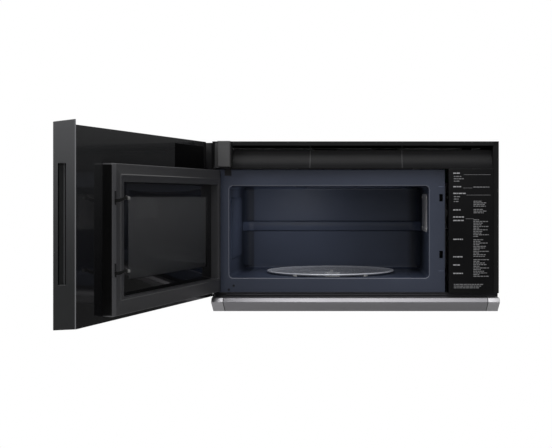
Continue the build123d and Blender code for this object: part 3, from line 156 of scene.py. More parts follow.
def door_box(node):
    """Lowest and highest (u, v, z) of a node of the door."""
    p = corners_of(nodes[node].data) / MM - hinge_foot
    local = np.stack([p @ along_door, p @ into_door, p @ upwards], axis=1)
    return local.min(axis=0), local.max(axis=0)


cavity_high = cabinet_box("oven_cavity")[1]
plate_low, plate_high = cabinet_box("face_plate")
print("face plate from", plate_low.round(1), "to", plate_high.round(1))

# %% [markdown]
# ## The camera
#
# The oven is seen square on, from far off, with a long lens. The camera looks
# straight into the wall at the oven's middle and slightly above its half
# height; the picture's frame is moved sideways and down by the lens shift, as a
# view camera does, so that upright edges stay upright.

# %% Place the camera
IMAGE_WIDTH = 552
SENSOR = 36.0
FOCAL_PIXELS = 1052.0
PRINCIPAL = (355.5, 197.14)
IMAGE_MIDDLE = (276.0, 224.0)
CAMERA_PLACE = (0.0, -3188.0, 78.2)

camera_data = bpy.data.cameras.new("view_camera")
camera_data.sensor_width = SENSOR
camera_data.lens = FOCAL_PIXELS / IMAGE_WIDTH * SENSOR
camera_data.shift_x = (IMAGE_MIDDLE[0] - PRINCIPAL[0]) / IMAGE_WIDTH
camera_data.shift_y = (PRINCIPAL[1] - IMAGE_MIDDLE[1]) / IMAGE_WIDTH
camera_data.clip_end = 60.0
camera = linked("view_camera", camera_data)
camera.location = cabinet_space(CAMERA_PLACE)
camera.rotation_euler = (math.radians(90), 0, 0)
bpy.context.scene.camera = camera
print("lens", round(camera_data.lens, 2), "mm")

# %% [markdown]
# ## Nodes written as arithmetic
#
# A finish is a sum: a base colour, a little cloudiness, a fine grain. One small
# class wraps a socket and lets Python's own + - * / add the Math nodes. A second
# class holds the tree of one material and makes every other node.

# %% Socket arithmetic
class Number:
    """One number that varies over the surface."""

    def __init__(self, tree, socket):
        self.tree = tree
        self.socket = socket

    def math(self, operation, *others):
        """operation applied to this number and the others, as one Math node."""
        return combined(self.tree, operation, self, *others)

    def __add__(self, other):
        return self.math("ADD", other)

    def __sub__(self, other):
        return self.math("SUBTRACT", other)

    def __rsub__(self, other):
        return combined(self.tree, "SUBTRACT", other, self)

    def __mul__(self, other):
        return self.math("MULTIPLY", other)

    def __truediv__(self, other):
        return self.math("DIVIDE", other)

    __radd__ = __add__
    __rmul__ = __mul__

    def above(self, edge, blur):
        """0 below edge, 1 above it, rising over blur."""
        return ((self - (edge - blur / 2)) / blur).clamped()

    def clamped(self):
        return self.math("MAXIMUM", 0.0).math("MINIMUM", 1.0)

    def between(self, low, high, blur):
        """1 from low to high, 0 outside."""
        return self.above(low, blur) * (1 - self.above(high, blur))


def combined(tree, operation, *values):
    """One Math node fed by numbers that vary and by plain ones."""
    node = tree.nodes.new("ShaderNodeMath")
    node.operation = operation
    for index, value in enumerate(values):
        if isinstance(value, Number):
            tree.links.new(value.socket, node.inputs[index])
        else:
            node.inputs[index].default_value = float(value)
    return Number(tree, node.outputs[0])


def tint(color, share):
    """The colour made darker or lighter."""
    return tuple(share * c for c in color)


class Finish:
    """One procedural material: its tree, its shader and the nodes that feed it."""

    def __init__(self, name, color, metallic=0.0, gloss=0.5, **sockets):
        self.material = bpy.data.materials.new(name)
        self.material.use_nodes = True
        self.tree = self.material.node_tree
        self.shader = self.tree.nodes["Principled BSDF"]
        self.color = color
        sockets.update({"Base Color": (*color, 1.0), "Metallic": metallic, "Specular IOR Level": gloss})
        for socket, value in sockets.items():
            self.shader.inputs[socket.replace("_", " ")].default_value = value
        self.place = self.node("ShaderNodeTexCoord").outputs["Object"]

    def feed(self, socket, value):
        """Sets a socket from a number, another socket or a plain value."""
        value = value.socket if isinstance(value, Number) else value
        if isinstance(value, bpy.types.NodeSocket):
            self.tree.links.new(value, socket)
        else:
            socket.default_value = value

    def node(self, kind, settings=None, **inputs):
        """A node of this kind, its settings first and then its sockets."""
        made = self.tree.nodes.new(kind)
        for key, value in (settings or {}).items():
            setattr(made, key, value)
        for key, value in inputs.items():
            self.feed(made.inputs[key], value)
        return made

    def stretched(self, scale):
        """Object coordinates, scaled along each axis."""
        return self.node("ShaderNodeMapping", Vector=self.place, Scale=scale).outputs[0]

    def noise(self, scale, detail=3.0, vector=None, roughness=0.5):
        """Cloudy noise about 0.5."""
        made = self.node("ShaderNodeTexNoise", Vector=vector or self.place,
                         Scale=scale, Detail=detail, Roughness=roughness)
        return Number(self.tree, made.outputs[0])

    def cells(self, scale, feature="F1", output="Distance"):
        """Voronoi cells: the distance to the nearest point, or a grey of each cell's own."""
        made = self.node("ShaderNodeTexVoronoi", {"feature": feature}, Vector=self.place, Scale=scale)
        return Number(self.tree, made.outputs[output])

    def axes(self):
        """The three Object coordinates as numbers, in millimetres."""
        made = self.node("ShaderNodeSeparateXYZ", Vector=self.place)
        return [Number(self.tree, out) / MM for out in made.outputs]

    def door_numbers(self):
        """u along the door, v into the oven and z, in millimetres."""
        x, y, z = self.axes()
        from_x, from_y = x - hinge_point[0], y - hinge_point[1]
        u = from_x * along_door[0] + from_y * along_door[1]
        v = from_x * into_door[0] + from_y * into_door[1]
        return u, v, z

    def blend(self, share, first, second):
        """first where share is 0, second where it is 1; each a colour or a socket."""
        made = self.node("ShaderNodeMix", {"data_type": "RGBA"})
        self.feed(made.inputs[0], share)
        for socket, value in ((made.inputs[6], first), (made.inputs[7], second)):
            self.feed(socket, (*value, 1.0) if isinstance(value, tuple) else value)
        return made.outputs[2]

    def shades(self, share, low, high):
        """The finish's own colour, from low to high times as bright."""
        return self.blend(share, tint(self.color, low), tint(self.color, high))

    def drive(self, socket, value):
        """Feeds a shader socket."""
        self.feed(self.shader.inputs[socket], value)

    def done(self, color, roughness, relief=None):
        """The material, with its colour (None for the plain one), roughness and relief.

        relief is a height, how far it reaches in millimetres, and a strength.
        """
        if color is not None:
            self.drive("Base Color", color)
        self.drive("Roughness", roughness)
        if relief:
            height, distance, strength = relief
            bump = self.node("ShaderNodeBump", Height=height, Distance=distance * MM, Strength=strength)
            self.drive("Normal", bump.outputs[0])
        return self.material

# %% [markdown]
# ## Surfaces from numbers
#
# Almost everything on an oven is a profile carried along something: the trim
# bar along a line, the choke frame round a rounded rectangle, the tray round an
# axis. So each piece is a grid of points worked out whole, and one class joins
# such grids into a mesh. Sheets with slots are lattices with cells left out.

# %% Grids into meshes
SMOOTH_ANGLE = 38.0
WELD_DISTANCE = 2e-6


def quarter(count):
    """Angles from 0 to a quarter turn."""
    return np.linspace(0, math.pi / 2, count)


def layer(pairs, axis, value):
    """Flat pairs become points: value is put in as the coordinate number axis."""
    return np.insert(np.asarray(pairs, float), axis, value, axis=1)


def quads_of(index):
    """The four corners of each cell of a grid of vertex numbers."""
    return np.stack([index[:-1, :-1], index[1:, :-1], index[1:, 1:], index[:-1, 1:]], axis=-1)


@contextlib.contextmanager
def welded(mesh):
    """The mesh opened for editing, with its double points joined, and closed again."""
    work = bmesh.new()
    work.from_mesh(mesh)
    bmesh.ops.remove_doubles(work, verts=work.verts, dist=WELD_DISTANCE)
    yield work
    work.to_mesh(mesh)
    work.free()


class Shape:
    """Collects patches of points and faces, in millimetres, and makes one mesh."""

    def __init__(self, space=cabinet_space):
        self.space = space
        self.points = []
        self.faces = []
        self.count = 0

    def add(self, points, faces):
        """Points, and faces that count them from the start of the shape."""
        self.points.append(np.asarray(points, float).reshape(-1, 3))
        self.faces.extend(faces)
        self.count += len(self.points[-1])
        return self

    def numbers(self, rows, columns):
        """The vertex numbers that the next rows x columns points will have."""
        return np.arange(rows * columns).reshape(rows, columns) + self.count

    def grid(self, points, close_rows=False, close_columns=False):
        """Quads between neighbouring points of a rows x columns x 3 array."""
        points = np.asarray(points, float)
        index = self.numbers(*points.shape[:2])
        if close_rows:
            index = np.vstack([index, index[:1]])
        if close_columns:
            index = np.hstack([index, index[:, :1]])
        return self.add(points, quads_of(index).reshape(-1, 4).tolist())

    def cap(self, ring):
        """One flat face with these corners."""
        return self.add(ring, [list(range(self.count, self.count + len(ring)))])

    def loft(self, rings):
        """A closed skin over the rings, with a flat face at either end."""
        rings = np.asarray(rings, float)
        return self.grid(rings, close_columns=True).cap(rings[0]).cap(rings[-1][::-1])

    def block(self, low, high):
        """A plain box between two corners."""
        corners = [(low[0], low[2]), (high[0], low[2]), (high[0], high[2]), (low[0], high[2])]
        return self.loft([layer(corners, 1, y) for y in (low[1], high[1])])

    def bar(self, outline, x0, x1):
        """A closed (y, z) outline carried from x0 to x1."""
        return self.loft([layer(outline, 0, x) for x in (x0, x1)])

    def slab(self, low, high, radius, edge, axis=1):
        """A plate with rounded corners and rounded rims between two corners of a box.

        axis is the thin direction. Each rim is a quarter circle of radius edge: the
        loop is inset by edge * (1 - sin t) at a depth of edge * (1 - cos t).
        """
        a, b = (k for k in range(3) if k != axis)
        t = quarter(4)
        insets = np.concatenate([edge * (1 - np.sin(t)), edge * (1 - np.sin(t[::-1]))])
        sunk = edge * (1 - np.cos(t))
        levels = np.concatenate([low[axis] + sunk, high[axis] - sunk[::-1]])
        return self.loft([
            layer(rectangle_loop(low[a] + inset, high[a] - inset, low[b] + inset, high[b] - inset,
                                 max(radius - inset, 0.05), 5), axis, level)
            for inset, level in zip(insets, levels)])

    def lattice(self, across, up, place, holes):
        """Cells between the sorted values across and up, less those inside a hole.

        place turns the (n, 2) pairs into points; a hole is (low, high, bottom, top).
        """
        a, b = np.meshgrid(np.asarray(across, float), np.asarray(up, float), indexing="ij")
        middle_a = (a[:-1, :-1] + a[1:, 1:]) / 2
        middle_b = (b[:-1, :-1] + b[1:, 1:]) / 2
        keep = np.ones(middle_a.shape, bool)
        for low, high, bottom, top in holes:
            keep &= ~((middle_a > low) & (middle_a < high) & (middle_b > bottom) & (middle_b < top))
        faces = quads_of(self.numbers(*a.shape))[keep].tolist()
        return self.add(place(np.stack([a.ravel(), b.ravel()], axis=1)), faces)

    def mesh(self, name, seen_from=None):
        """The welded mesh with its faces turned outwards, or towards seen_from for an open sheet."""
        mesh = bpy.data.meshes.new(name)
        mesh.from_pydata(self.space(np.concatenate(self.points)).tolist(), [], self.faces)
        with welded(mesh) as work:
            loose = [corner for corner in work.verts if not corner.link_faces]
            bmesh.ops.delete(work, geom=loose, context="VERTS")
            bmesh.ops.recalc_face_normals(work, faces=work.faces)
            if seen_from is not None:
                face_towards(work, Vector(self.space(np.array(seen_from, float))))
        return mesh

    def make(self, name, finish, body, slot=None, smooth=SMOOTH_ANGLE, replaces=(), seen_from=None):
        """The mesh object, shaded smooth up to an angle, riding on its body."""
        return settle(name, self.mesh(name, seen_from), finish, body, slot, smooth, replaces)


def face_towards(work, point):
    """Turns every connected patch of an open sheet so that most of it faces the point."""
    seen = set()
    for start in work.faces:
        if start in seen:
            continue
        seen.add(start)
        patch, queue = [], [start]
        while queue:
            face = queue.pop()
            patch.append(face)
            beside = {other for edge in face.edges for other in edge.link_faces} - seen
            seen |= beside
            queue.extend(beside)
        share = sum(f.calc_area() * f.normal.dot(point - f.calc_center_median()) for f in patch)
        if share < 0:
            bmesh.ops.reverse_faces(work, faces=patch)


def settle(name, mesh, finish, body, slot, smooth, replaces):
    """Links a finished mesh as a piece that rides on body."""
    mesh.polygons.foreach_set("use_smooth", np.ones(len(mesh.polygons), bool))
    mesh.set_sharp_from_angle(angle=math.radians(smooth))
    piece = linked(name, mesh)
    mesh.materials.append(finish)
    if replaces:
        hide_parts(*replaces)
        slot = slot or slot_of[replaces[0]]
    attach(piece, body)
    return piece


def modify(piece, kind, **settings):
    """Adds a modifier with these settings."""
    made = piece.modifiers.new(kind.lower(), kind)
    for key, value in settings.items():
        setattr(made, key, value)


def evaluated_mesh(thing):
    """A new mesh of an object as its modifiers leave it."""
    bpy.context.view_layer.update()
    return bpy.data.meshes.new_from_object(thing.evaluated_get(bpy.context.evaluated_depsgraph_get()))


def baked(piece):
    """Turns the piece's modifiers into its mesh."""
    result = evaluated_mesh(piece)
    piece.modifiers.clear()
    before, piece.data = piece.data, result
    bpy.data.meshes.remove(before)
    result.name = piece.name
    return result


def cut_away(piece, block):
    """Takes a closed Shape out of a piece for good."""
    mesh = block.mesh("cutter")
    cutter = linked("cutter", mesh)
    modify(piece, "BOOLEAN", operation="DIFFERENCE", solver="EXACT", object=cutter)
    baked(piece)
    bpy.data.objects.remove(cutter)
    bpy.data.meshes.remove(mesh)


def walled(piece, thickness):
    """Gives an open sheet its thickness, in millimetres, away from its seen side.

    Its new edges are never sharp by themselves: without marking them a flat
    sheet would be shaded as if it curled over its rim.
    """
    modify(piece, "SOLIDIFY", thickness=thickness * MM, offset=-1.0, use_even_offset=True)
    baked(piece).set_sharp_from_angle(angle=math.radians(SMOOTH_ANGLE))


# %% [markdown]
# ## Outlines
#
# Pressed and moulded parts have no knife edges: every corner of an outline is an
# arc. One function rounds the corners of any polygon, another gives the loop of
# a rounded rectangle, and both return arrays ready to be carried along a path.

# %% Rounded outlines
def round_corners(corners, radii, steps=5):
    """The polygon with corner i cut back by an arc of radii[i], in steps pieces.

    The arc touches both sides at radius / tan(half the corner angle).
    """
    corners = np.asarray(corners, float)
    radii = np.broadcast_to(np.asarray(radii, float), (len(corners),))
    out = []
    neighbours = zip(np.roll(corners, 1, 0), corners, np.roll(corners, -1, 0), radii)
    for before, here, after, radius in neighbours:
        if radius <= 0:
            out.append(here[None])
            continue
        towards_before = (before - here) / np.linalg.norm(before - here)
        towards_after = (after - here) / np.linalg.norm(after - here)
        half = math.acos(np.clip(towards_before @ towards_after, -1, 1)) / 2
        reach = radius / math.tan(half)
        bisector = towards_before + towards_after
        centre = here + bisector / np.linalg.norm(bisector) * radius / math.sin(half)
        first = here + towards_before * reach - centre
        last = here + towards_after * reach - centre
        share = np.linspace(0, 1, steps + 1)[:, None]
        sweep = math.acos(np.clip(first @ last / radius ** 2, -1, 1))
        arc = (np.sin((1 - share) * sweep) * first + np.sin(share * sweep) * last) / math.sin(sweep)
        out.append(centre + arc)
    return np.concatenate(out)


def rectangle_loop(low_a, high_a, low_b, high_b, radius, steps):
    """Points round a rounded rectangle; always 4 * (steps + 1) of them."""
    centres = ((high_a - radius, high_b - radius), (low_a + radius, high_b - radius),
               (low_a + radius, low_b + radius), (high_a - radius, low_b + radius))
    turns = [quarter(steps + 1) + k * math.pi / 2 for k in range(4)]
    return np.concatenate([np.stack([a + radius * np.cos(t), b + radius * np.sin(t)], axis=1)
                           for (a, b), t in zip(centres, turns)])


def turned(profile, place, segments, axis=(0, 0, 1), side=(1, 0, 0)):
    """A (radius, along) profile turned round an axis through place; side is square to the axis."""
    profile, axis, side = (np.asarray(value, float) for value in (profile, axis, side))
    turn = np.linspace(0, 2 * math.pi, segments, endpoint=False)[:, None]
    around = np.cos(turn) * side + np.sin(turn) * np.cross(axis, side)
    return np.asarray(place) + profile[:, 1, None, None] * axis + profile[:, 0, None, None] * around


def soft_copy(node, edge, finish):
    """A copy of a CAD solid whose flat faces are joined and whose edges are rounded by a bevel."""
    mesh = nodes[node].data.copy()
    with welded(mesh) as work:
        bmesh.ops.dissolve_limit(work, angle_limit=math.radians(0.6), verts=work.verts, edges=work.edges)
    mesh.materials.clear()
    piece = settle(node + "_skin", mesh, finish, body_of[node], None, 35.0, (node,))
    modify(piece, "BEVEL", width=edge * MM, segments=2, limit_method="ANGLE",
           angle_limit=math.radians(32), use_clamp_overlap=True, harden_normals=True)


print("helpers ready")

# %% [markdown]
# ## Paint and enamel
#
# The cabinet is powder coated: a dull black with an orange-peel skin of about a
# millimetre. The cavity and the plate round its mouth are fired enamel, a grey
# blue that is smooth, glossy and a little cloudy. Both are dielectric paints, so
# only their relief and gloss tell them apart.

# %% Paint finishes
def powder_coat(name, color, roughness):
    finish = Finish(name, color, gloss=0.16)
    peel, cloud = finish.noise(900.0, 2.0), finish.noise(14.0)
    return finish.done(finish.shades(cloud, 0.86, 1.14),
                       roughness + 0.10 * (cloud - 0.5) + 0.06 * (peel - 0.5), (peel, 0.05, 0.5))


def fired_enamel(name, color, roughness=0.34):
    finish = Finish(name, color, gloss=0.40)
    cloud = finish.noise(9.0, 4.0)
    pits = 1 - finish.cells(1400.0).above(0.10, 0.08)
    return finish.done(finish.shades((0.8 * cloud + 0.5 * pits).clamped(), 0.90, 1.16),
                       roughness + 0.10 * (cloud - 0.5) + 0.15 * pits,
                       (finish.noise(160.0, 2.0), 0.03, 0.35))


def cavity_enamel(name):
    """The box's enamel before its details: the finish, its colour and its roughness."""
    finish = Finish(name, CAVITY_BLUE, gloss=0.40)
    cloud = finish.noise(9.0, 4.0)
    return finish, finish.shades(cloud, 0.92, 1.10), CAVITY_ROUGHNESS + 0.10 * (cloud - 0.5)


def lining_enamel(name):
    """Enamel of the drawn box, with a painted highlight where it is bent round the mouth and painted shade
    towards its sides.

    The highlight covers the bend, the first couple of millimetres behind the plate. The shade lies on the
    last part of the width at the right and at the left, and only deep inside.
    """
    finish, body, roughness = cavity_enamel(name)
    x, y, _ = finish.axes()
    # painted highlight: the bend round the mouth is given a pale blue
    painted_bend_highlight = 1 - y.above(plate_low[1] + 2.3, 0.8)
    # painted shade: the sides, deep inside, are blended towards a dark copy of the cavity blue
    right, left = x.above(163.0, 16.0), 1 - x.above(-306.0, 4.0)
    painted_corner_shade = (0.80 * right + 0.75 * left).clamped() * y.above(-150.0, 110.0)
    shaded = finish.blend(painted_corner_shade, body, tint(CAVITY_BLUE, 0.18))
    return finish.done(finish.blend(painted_bend_highlight, shaded, PAINTED_BEND_HIGHLIGHT_BLUE), roughness + 0.2 * painted_corner_shade,
                       (finish.noise(160.0, 2.0), 0.03, 0.35))


def pressing_enamel(name):
    """The cavity's enamel with painted shade in the creases at the two edges of the back bead."""
    finish, body, roughness = cavity_enamel(name)
    _, y, z = finish.axes()
    # painted shade in the two creases of the back bead, a dark copy of the cavity blue
    foot_crease_shade = z.between(BEAD_FOOT - 0.6, BEAD_FOOT + 2.2, 0.8)
    head_crease_shade = z.between(BEAD_HEAD - 2.2, BEAD_HEAD + 0.6, 0.8)
    crease_shade = (foot_crease_shade + head_crease_shade).clamped() * y.above(-60.0, 10.0)
    return finish.done(finish.blend(crease_shade, body, tint(CAVITY_BLUE, 0.12)), roughness + 0.3 * crease_shade)


ENAMEL_BLUE = (0.031, 0.037, 0.056)
CAVITY_BLUE = (0.033, 0.041, 0.066)
# the pale blue of the painted highlight on the mouth's bend
PAINTED_BEND_HIGHLIGHT_BLUE = (0.088, 0.094, 0.118)
CAVITY_ROUGHNESS = 0.30
BEAD_FOOT, BEAD_HEAD = -24.8, 7.4
wrap_paint = powder_coat("black_powder_coat", (0.0052, 0.0052, 0.0056), 0.42)
pan_paint = powder_coat("pan_powder_coat", (0.016, 0.016, 0.017), 0.5)
enamel = fired_enamel("blue_grey_enamel", ENAMEL_BLUE)
inner_enamel = fired_enamel("deep_blue_cavity_enamel", CAVITY_BLUE, CAVITY_ROUGHNESS)
# a lighter copy of the plate's enamel, a painted highlight on the embossed lines
emboss_highlight_enamel = fired_enamel("pressed_line_painted_highlight", tint(ENAMEL_BLUE, 2.6))
lining_finish = lining_enamel("cavity_lining_enamel")
pressed_enamel = pressing_enamel("pressed_enamel_crease_shade")
print("enamel", enamel.name)

# %% [markdown]
# ## Moulded plastics
#
# The vent, the guide panel, the hinge cover and the door's frame are moulded
# plastic. A mould is spark-eroded, which leaves a grain of fine cells; handling
# polishes its peaks, so the gloss varies slowly over the surface.

# %% Plastic finishes
def moulded(name, color, roughness, grain=700.0, depth=0.04, gloss=0.35):
    finish = Finish(name, color, gloss=gloss)
    skin, rub = finish.noise(grain, 4.0, roughness=0.6), finish.noise(11.0)
    return finish.done(finish.shades(rub, 0.88, 1.12),
                       roughness + 0.12 * (rub - 0.5) + 0.08 * (skin - 0.5), (skin, depth, 0.5))


def liner_plastic(name, dark, pale, roughness):
    """Mirror-gloss sheet with a painted reflection, brightest at its upper free corner, and spots of dust."""
    finish = Finish(name, dark, gloss=0.42)
    u, _, z = finish.door_numbers()
    wave = finish.noise(3.5, 2.0)
    # painted reflection: lighter towards the top and away from the hinge
    painted_reflection = ((z + 180.0) / 400.0).clamped() * u.above(130.0, 90.0)
    dust = 1 - finish.cells(260.0).above(0.035, 0.02)
    # the pale colour serves the painted reflection and the dust alike
    return finish.done(finish.blend((painted_reflection * painted_reflection + 0.2 * dust).clamped(), dark, pale),
                       roughness + 0.03 * wave + 0.25 * dust, (wave, 0.15, 0.05))


def frame_plastic(name, color, end_u, roughness):
    """The choke frame: satin, with a painted highlight on the band at its free end and painted shade, nearly
    black, on the end wall.

    Its first 12 mm by the hinge carry painted shade as well. end_u is where the frame ends.
    """
    finish = Finish(name, color, gloss=0.35)
    u = finish.door_numbers()[0]
    rub = finish.noise(11.0)
    # painted highlight: the band at the free end
    painted_highlight_band = u.between(end_u - 18.5, end_u - 0.6, 1.0)
    # painted shade: the end wall and the first 12 mm by the hinge
    dark = u.above(end_u - 0.5, 0.6) + 0.8 * (1 - u.above(12.0, 2.0))
    lit = finish.blend(0.9 * painted_highlight_band, finish.shades(rub, 0.90, 1.10), tint(color, 2.1))
    return finish.done(finish.blend(dark, lit, tint(color, 0.06)), roughness + 0.12 * (rub - 0.5),
                       (finish.noise(700.0, 4.0, roughness=0.6), 0.04, 0.5))


def shaded_cap(name, low_z, high_z, dark, pale, roughness):
    """The door's end cap: it catches more of the ceiling's light towards its top.

    Its slanting face starts at CAP_EDGE (u, v) and sinks along CAP_INWARD; the
    pocket in it is the part that lies deeper than a millimetre. The lip by the
    liner carries a painted highlight, the pocket is painted darker as shade, and a
    line down the pocket is a painted highlight.
    """
    finish = Finish(name, dark, gloss=0.30)
    u, v, z = finish.door_numbers()
    rub = finish.noise(11.0)
    rise = ((z - low_z) / (high_z - low_z)).clamped()
    share = (rise * rise * 0.8 + 0.2 * rise + 0.12 * (rub - 0.5)).clamped()
    from_u, from_v = u - CAP_EDGE[0], v - CAP_EDGE[1]
    depth = from_u * CAP_INWARD[0] + from_v * CAP_INWARD[1]
    along = from_v * CAP_INWARD[0] - from_u * CAP_INWARD[1]
    pocket = depth.above(1.0, 0.6) * along.between(4.0, 40.0, 0.5)
    # painted highlight: a line down the middle of the pocket
    painted_groove_highlight = along.between(20.2, 22.4, 0.8)
    # painted highlight: the lip by the liner, 2.2 times the pale colour
    lip_highlighted = finish.blend(v.above(-2.4, 0.8), finish.blend(share, dark, pale), tint(pale, 2.2))
    # painted shade in the pocket at 0.6 of the dark colour, with the highlight line at 4.8
    return finish.done(finish.blend(pocket, lip_highlighted, finish.shades(painted_groove_highlight, 0.6, 4.8)),
                       roughness + 0.12 * (rub - 0.5), (finish.noise(900.0, 4.0, roughness=0.6), 0.02, 0.5))


CAP_EDGE = (729.5, -0.5)
CAP_INWARD = (-0.815, -0.579)
cap_plastic = shaded_cap("end_cap_plastic", -180.0, 230.0, (0.014, 0.0145, 0.015),
                         (0.062, 0.063, 0.066), 0.37)
vent_plastic = moulded("vent_black_plastic", (0.0070, 0.0070, 0.0076), 0.44, gloss=0.18)
# painted highlight: the outlet's ribs, far lighter than the black moulding they belong to
rib_highlight_plastic = moulded("outlet_rib_painted_highlight", (0.050, 0.050, 0.052), 0.45)
panel_plastic = moulded("panel_black_plastic", (0.0032, 0.0032, 0.0036), 0.34, 500.0, 0.02, 0.14)
cover_plastic = moulded("hinge_cover_plastic", (0.050, 0.050, 0.051), 0.42)
core_plastic = moulded("door_core_plastic", (0.006, 0.006, 0.0065), 0.45, gloss=0.18)
hook_plastic = moulded("hook_black_plastic", (0.010, 0.010, 0.010), 0.30)
shoe_glint_plastic = moulded("hook_shoe_painted_glint", (0.13, 0.13, 0.128), 0.35)
bead_highlight_plastic = moulded("hinge_bead_painted_highlight", (0.26, 0.255, 0.24), 0.32)
white_plastic = moulded("white_acetal", (0.72, 0.72, 0.69), 0.38)
soft_black = moulded("grommet_rubber", (0.014, 0.014, 0.014), 0.65, 300.0, 0.08)
notch_shade_black = moulded("matt_black_painted_shade", (0.0007, 0.0007, 0.0008), 0.7, gloss=0.03)
# the second colour is the pale of the painted reflection and of the dust
liner_gloss = liner_plastic("door_liner_gloss", (0.004, 0.004, 0.0045), (0.0235, 0.024, 0.025), 0.045)
choke_plastic = frame_plastic("choke_frame_plastic", (0.029, 0.029, 0.031), 618.0, 0.36)
print("plastics ready")

# %% [markdown]
# ## Bright metals
#
# Brushed steel is drawn through grit along its length: long fine scratches that
# run with X. The noise that makes them is squeezed hard along X, so it becomes
# threads. Galvanised sheet instead shows crystals, which are Voronoi cells of
# slightly different greys. Pins and shafts are ground and only lightly streaked.

# %% Metal finishes
def brushed(name, color, roughness, along=(3.0, 900.0, 900.0)):
    finish = Finish(name, color, metallic=1.0)
    threads, smudge = finish.noise(1.0, vector=finish.stretched(along)), finish.noise(7.0)
    return finish.done(finish.shades(threads, 0.80, 1.18),
                       roughness + 0.20 * (threads - 0.5) + 0.10 * (smudge - 0.5), (threads, 0.015, 0.5))


def galvanised(name, color, roughness, metallic, crystals):
    finish = Finish(name, color, metallic)
    crystal, fine = finish.cells(crystals, output="Color"), finish.noise(420.0, 2.0)
    return finish.done(finish.shades((0.75 * crystal + 0.25 * fine).clamped(), 0.78, 1.15),
                       roughness + 0.22 * (crystal - 0.5))


def plated(name, color, roughness):
    finish = Finish(name, color, metallic=1.0)
    streak = finish.noise(60.0, 4.0)
    return finish.done(None, roughness + 0.25 * (streak - 0.5), (streak, 0.02, 0.3))


trim_steel = brushed("brushed_trim_steel", (0.26, 0.255, 0.27), 0.49)
cap_silver = brushed("silver_cap_plastic", (0.42, 0.414, 0.43), 0.50, (40.0, 500.0, 500.0))
sill_steel = brushed("dark_sill_steel", (0.060, 0.060, 0.066), 0.34)
zinc_sheet = galvanised("galvanised_sheet", (0.52, 0.53, 0.54), 0.42, 0.9, 95.0)
plate_zinc = galvanised("wall_plate_zinc", (0.36, 0.37, 0.375), 0.48, 0.45, 60.0)
pin_steel = plated("ground_steel", (0.60, 0.60, 0.60), 0.22)
dark_steel = plated("black_plated_steel", (0.055, 0.055, 0.058), 0.38)
bare_aluminium = plated("bare_aluminium", (0.70, 0.70, 0.71), 0.35)
filter_frame = plated("filter_frame_aluminium", (0.42, 0.42, 0.43), 0.40)
screw_steel = plated("black_screw_steel", (0.030, 0.030, 0.032), 0.42)
clock_glass = plated("clock_window_tint", (0.020, 0.020, 0.024), 0.12)
print("metals ready")

# %% [markdown]
# ## Glass
#
# Three kinds meet here. The tray is clear soda glass: a pale veil stands for
# what its thickness hides and, as a painted reflection, for its sheen. The door's
# outer pane is printed black on its back and behaves like a mirror on black. The
# window pane has a black printed border and a clear middle, through which the
# perforated screen shows as a dull grey.

# %% Glass finishes
def tray_glass_finish(name, centre, rim_from):
    """Pressed glass on a dark floor: a pale veil, partly a painted reflection, denser where the rim turns up.

    The distance from the spindle is sqrt(x^2 + y^2); past rim_from the glass is
    seen through its height and not its thickness, so it hides more; the denser rim is also a painted
    highlight.
    """
    finish = Finish(name, (0.60, 0.62, 0.68), gloss=0.8)
    x, y, _ = finish.axes()
    across, along = x - centre[0], y - centre[1]
    # the veil is denser on the rim: partly the glass's height, partly a painted highlight
    rim = (across * across + along * along).math("SQRT").above(rim_from, 6.0)
    smear = finish.noise(22.0)
    finish.drive("Alpha", 0.34 + 0.45 * rim + 0.08 * (smear - 0.5))
    return finish.done(None, 0.05 + 0.08 * smear)


def printed_pane(name, blur, border, middle, open_share, roughness, fade=(1.0, 1.0)):
    """A pane of the door: black print all round the window, (u, z) from low to high.

    fade holds what its colours are multiplied by at the window's foot and head: painted shade towards the
    foot and painted light towards the head.
    """
    low, high = WINDOW_LOW, WINDOW_HIGH
    finish = Finish(name, border, gloss=0.45)
    u, _, z = finish.door_numbers()
    window = u.between(low[0], high[0], blur) * z.between(low[1], high[1], blur)
    rise = ((z - low[1]) / (high[1] - low[1])).clamped()
    # painted light and shade: the colours go from fade[0] times at the foot to fade[1] times at the head
    foot, head = (finish.blend(window, tint(border, share), tint(middle, share)) for share in fade)
    finish.drive("Alpha", 1 - open_share * window)
    return finish.done(finish.blend(rise, foot, head), roughness + 0.04 * finish.noise(5.0))


def perforated(name, color, pitch, hole):
    """A screen: rows of holes pitch apart, every second row shifted by half a pitch.

    Two square lattices of dots, one moved by half a cell, make the pattern; a
    point is in a hole where its distance to the nearest centre is under half of
    hole times the pitch.
    """
    finish = Finish(name, color, metallic=0.6)
    u, _, z = finish.door_numbers()
    dots = []
    for shift in (0.0, 0.5):
        a = (u / pitch + shift).math("FRACT") - 0.5
        b = (z / (pitch * 0.866) * 0.5 + shift).math("FRACT") - 0.5
        dots.append((a * a + b * b * 3.0).math("SQRT"))
    holes = 1 - dots[0].math("MINIMUM", dots[1]).above(hole / 2, 0.12)
    return finish.done(finish.shades(holes, 1.0, 0.10), 0.42 + 0.4 * holes)


def frosted_lens(name, color):
    finish = Finish(name, color, Transmission_Weight=0.75, IOR=1.49)
    prism = finish.noise(260.0, 1.0)
    return finish.done(None, 0.25 + 0.3 * prism, (prism, 0.3, 0.5))


WINDOW_LOW, WINDOW_HIGH = (54.0, -102.2), (505.0, 78.6)
lamp_glass = frosted_lens("ribbed_lens_plastic", (0.86, 0.87, 0.85))
# the window pane: painted shade at its foot (0.1) and painted light at its head (2.5)
window_pane = printed_pane("window_pane", 2.0, (0.0035, 0.0035, 0.004), (0.036, 0.036, 0.038),
                           0.70, 0.04, fade=(0.1, 2.5))
outer_pane = printed_pane("outer_black_pane", 24.0, (0.003, 0.003, 0.0034), (0.008, 0.008, 0.009), 0.35, 0.03)
screen_metal = perforated("perforated_screen", (0.17, 0.173, 0.178), 2.6, 0.62)
print("glass ready")

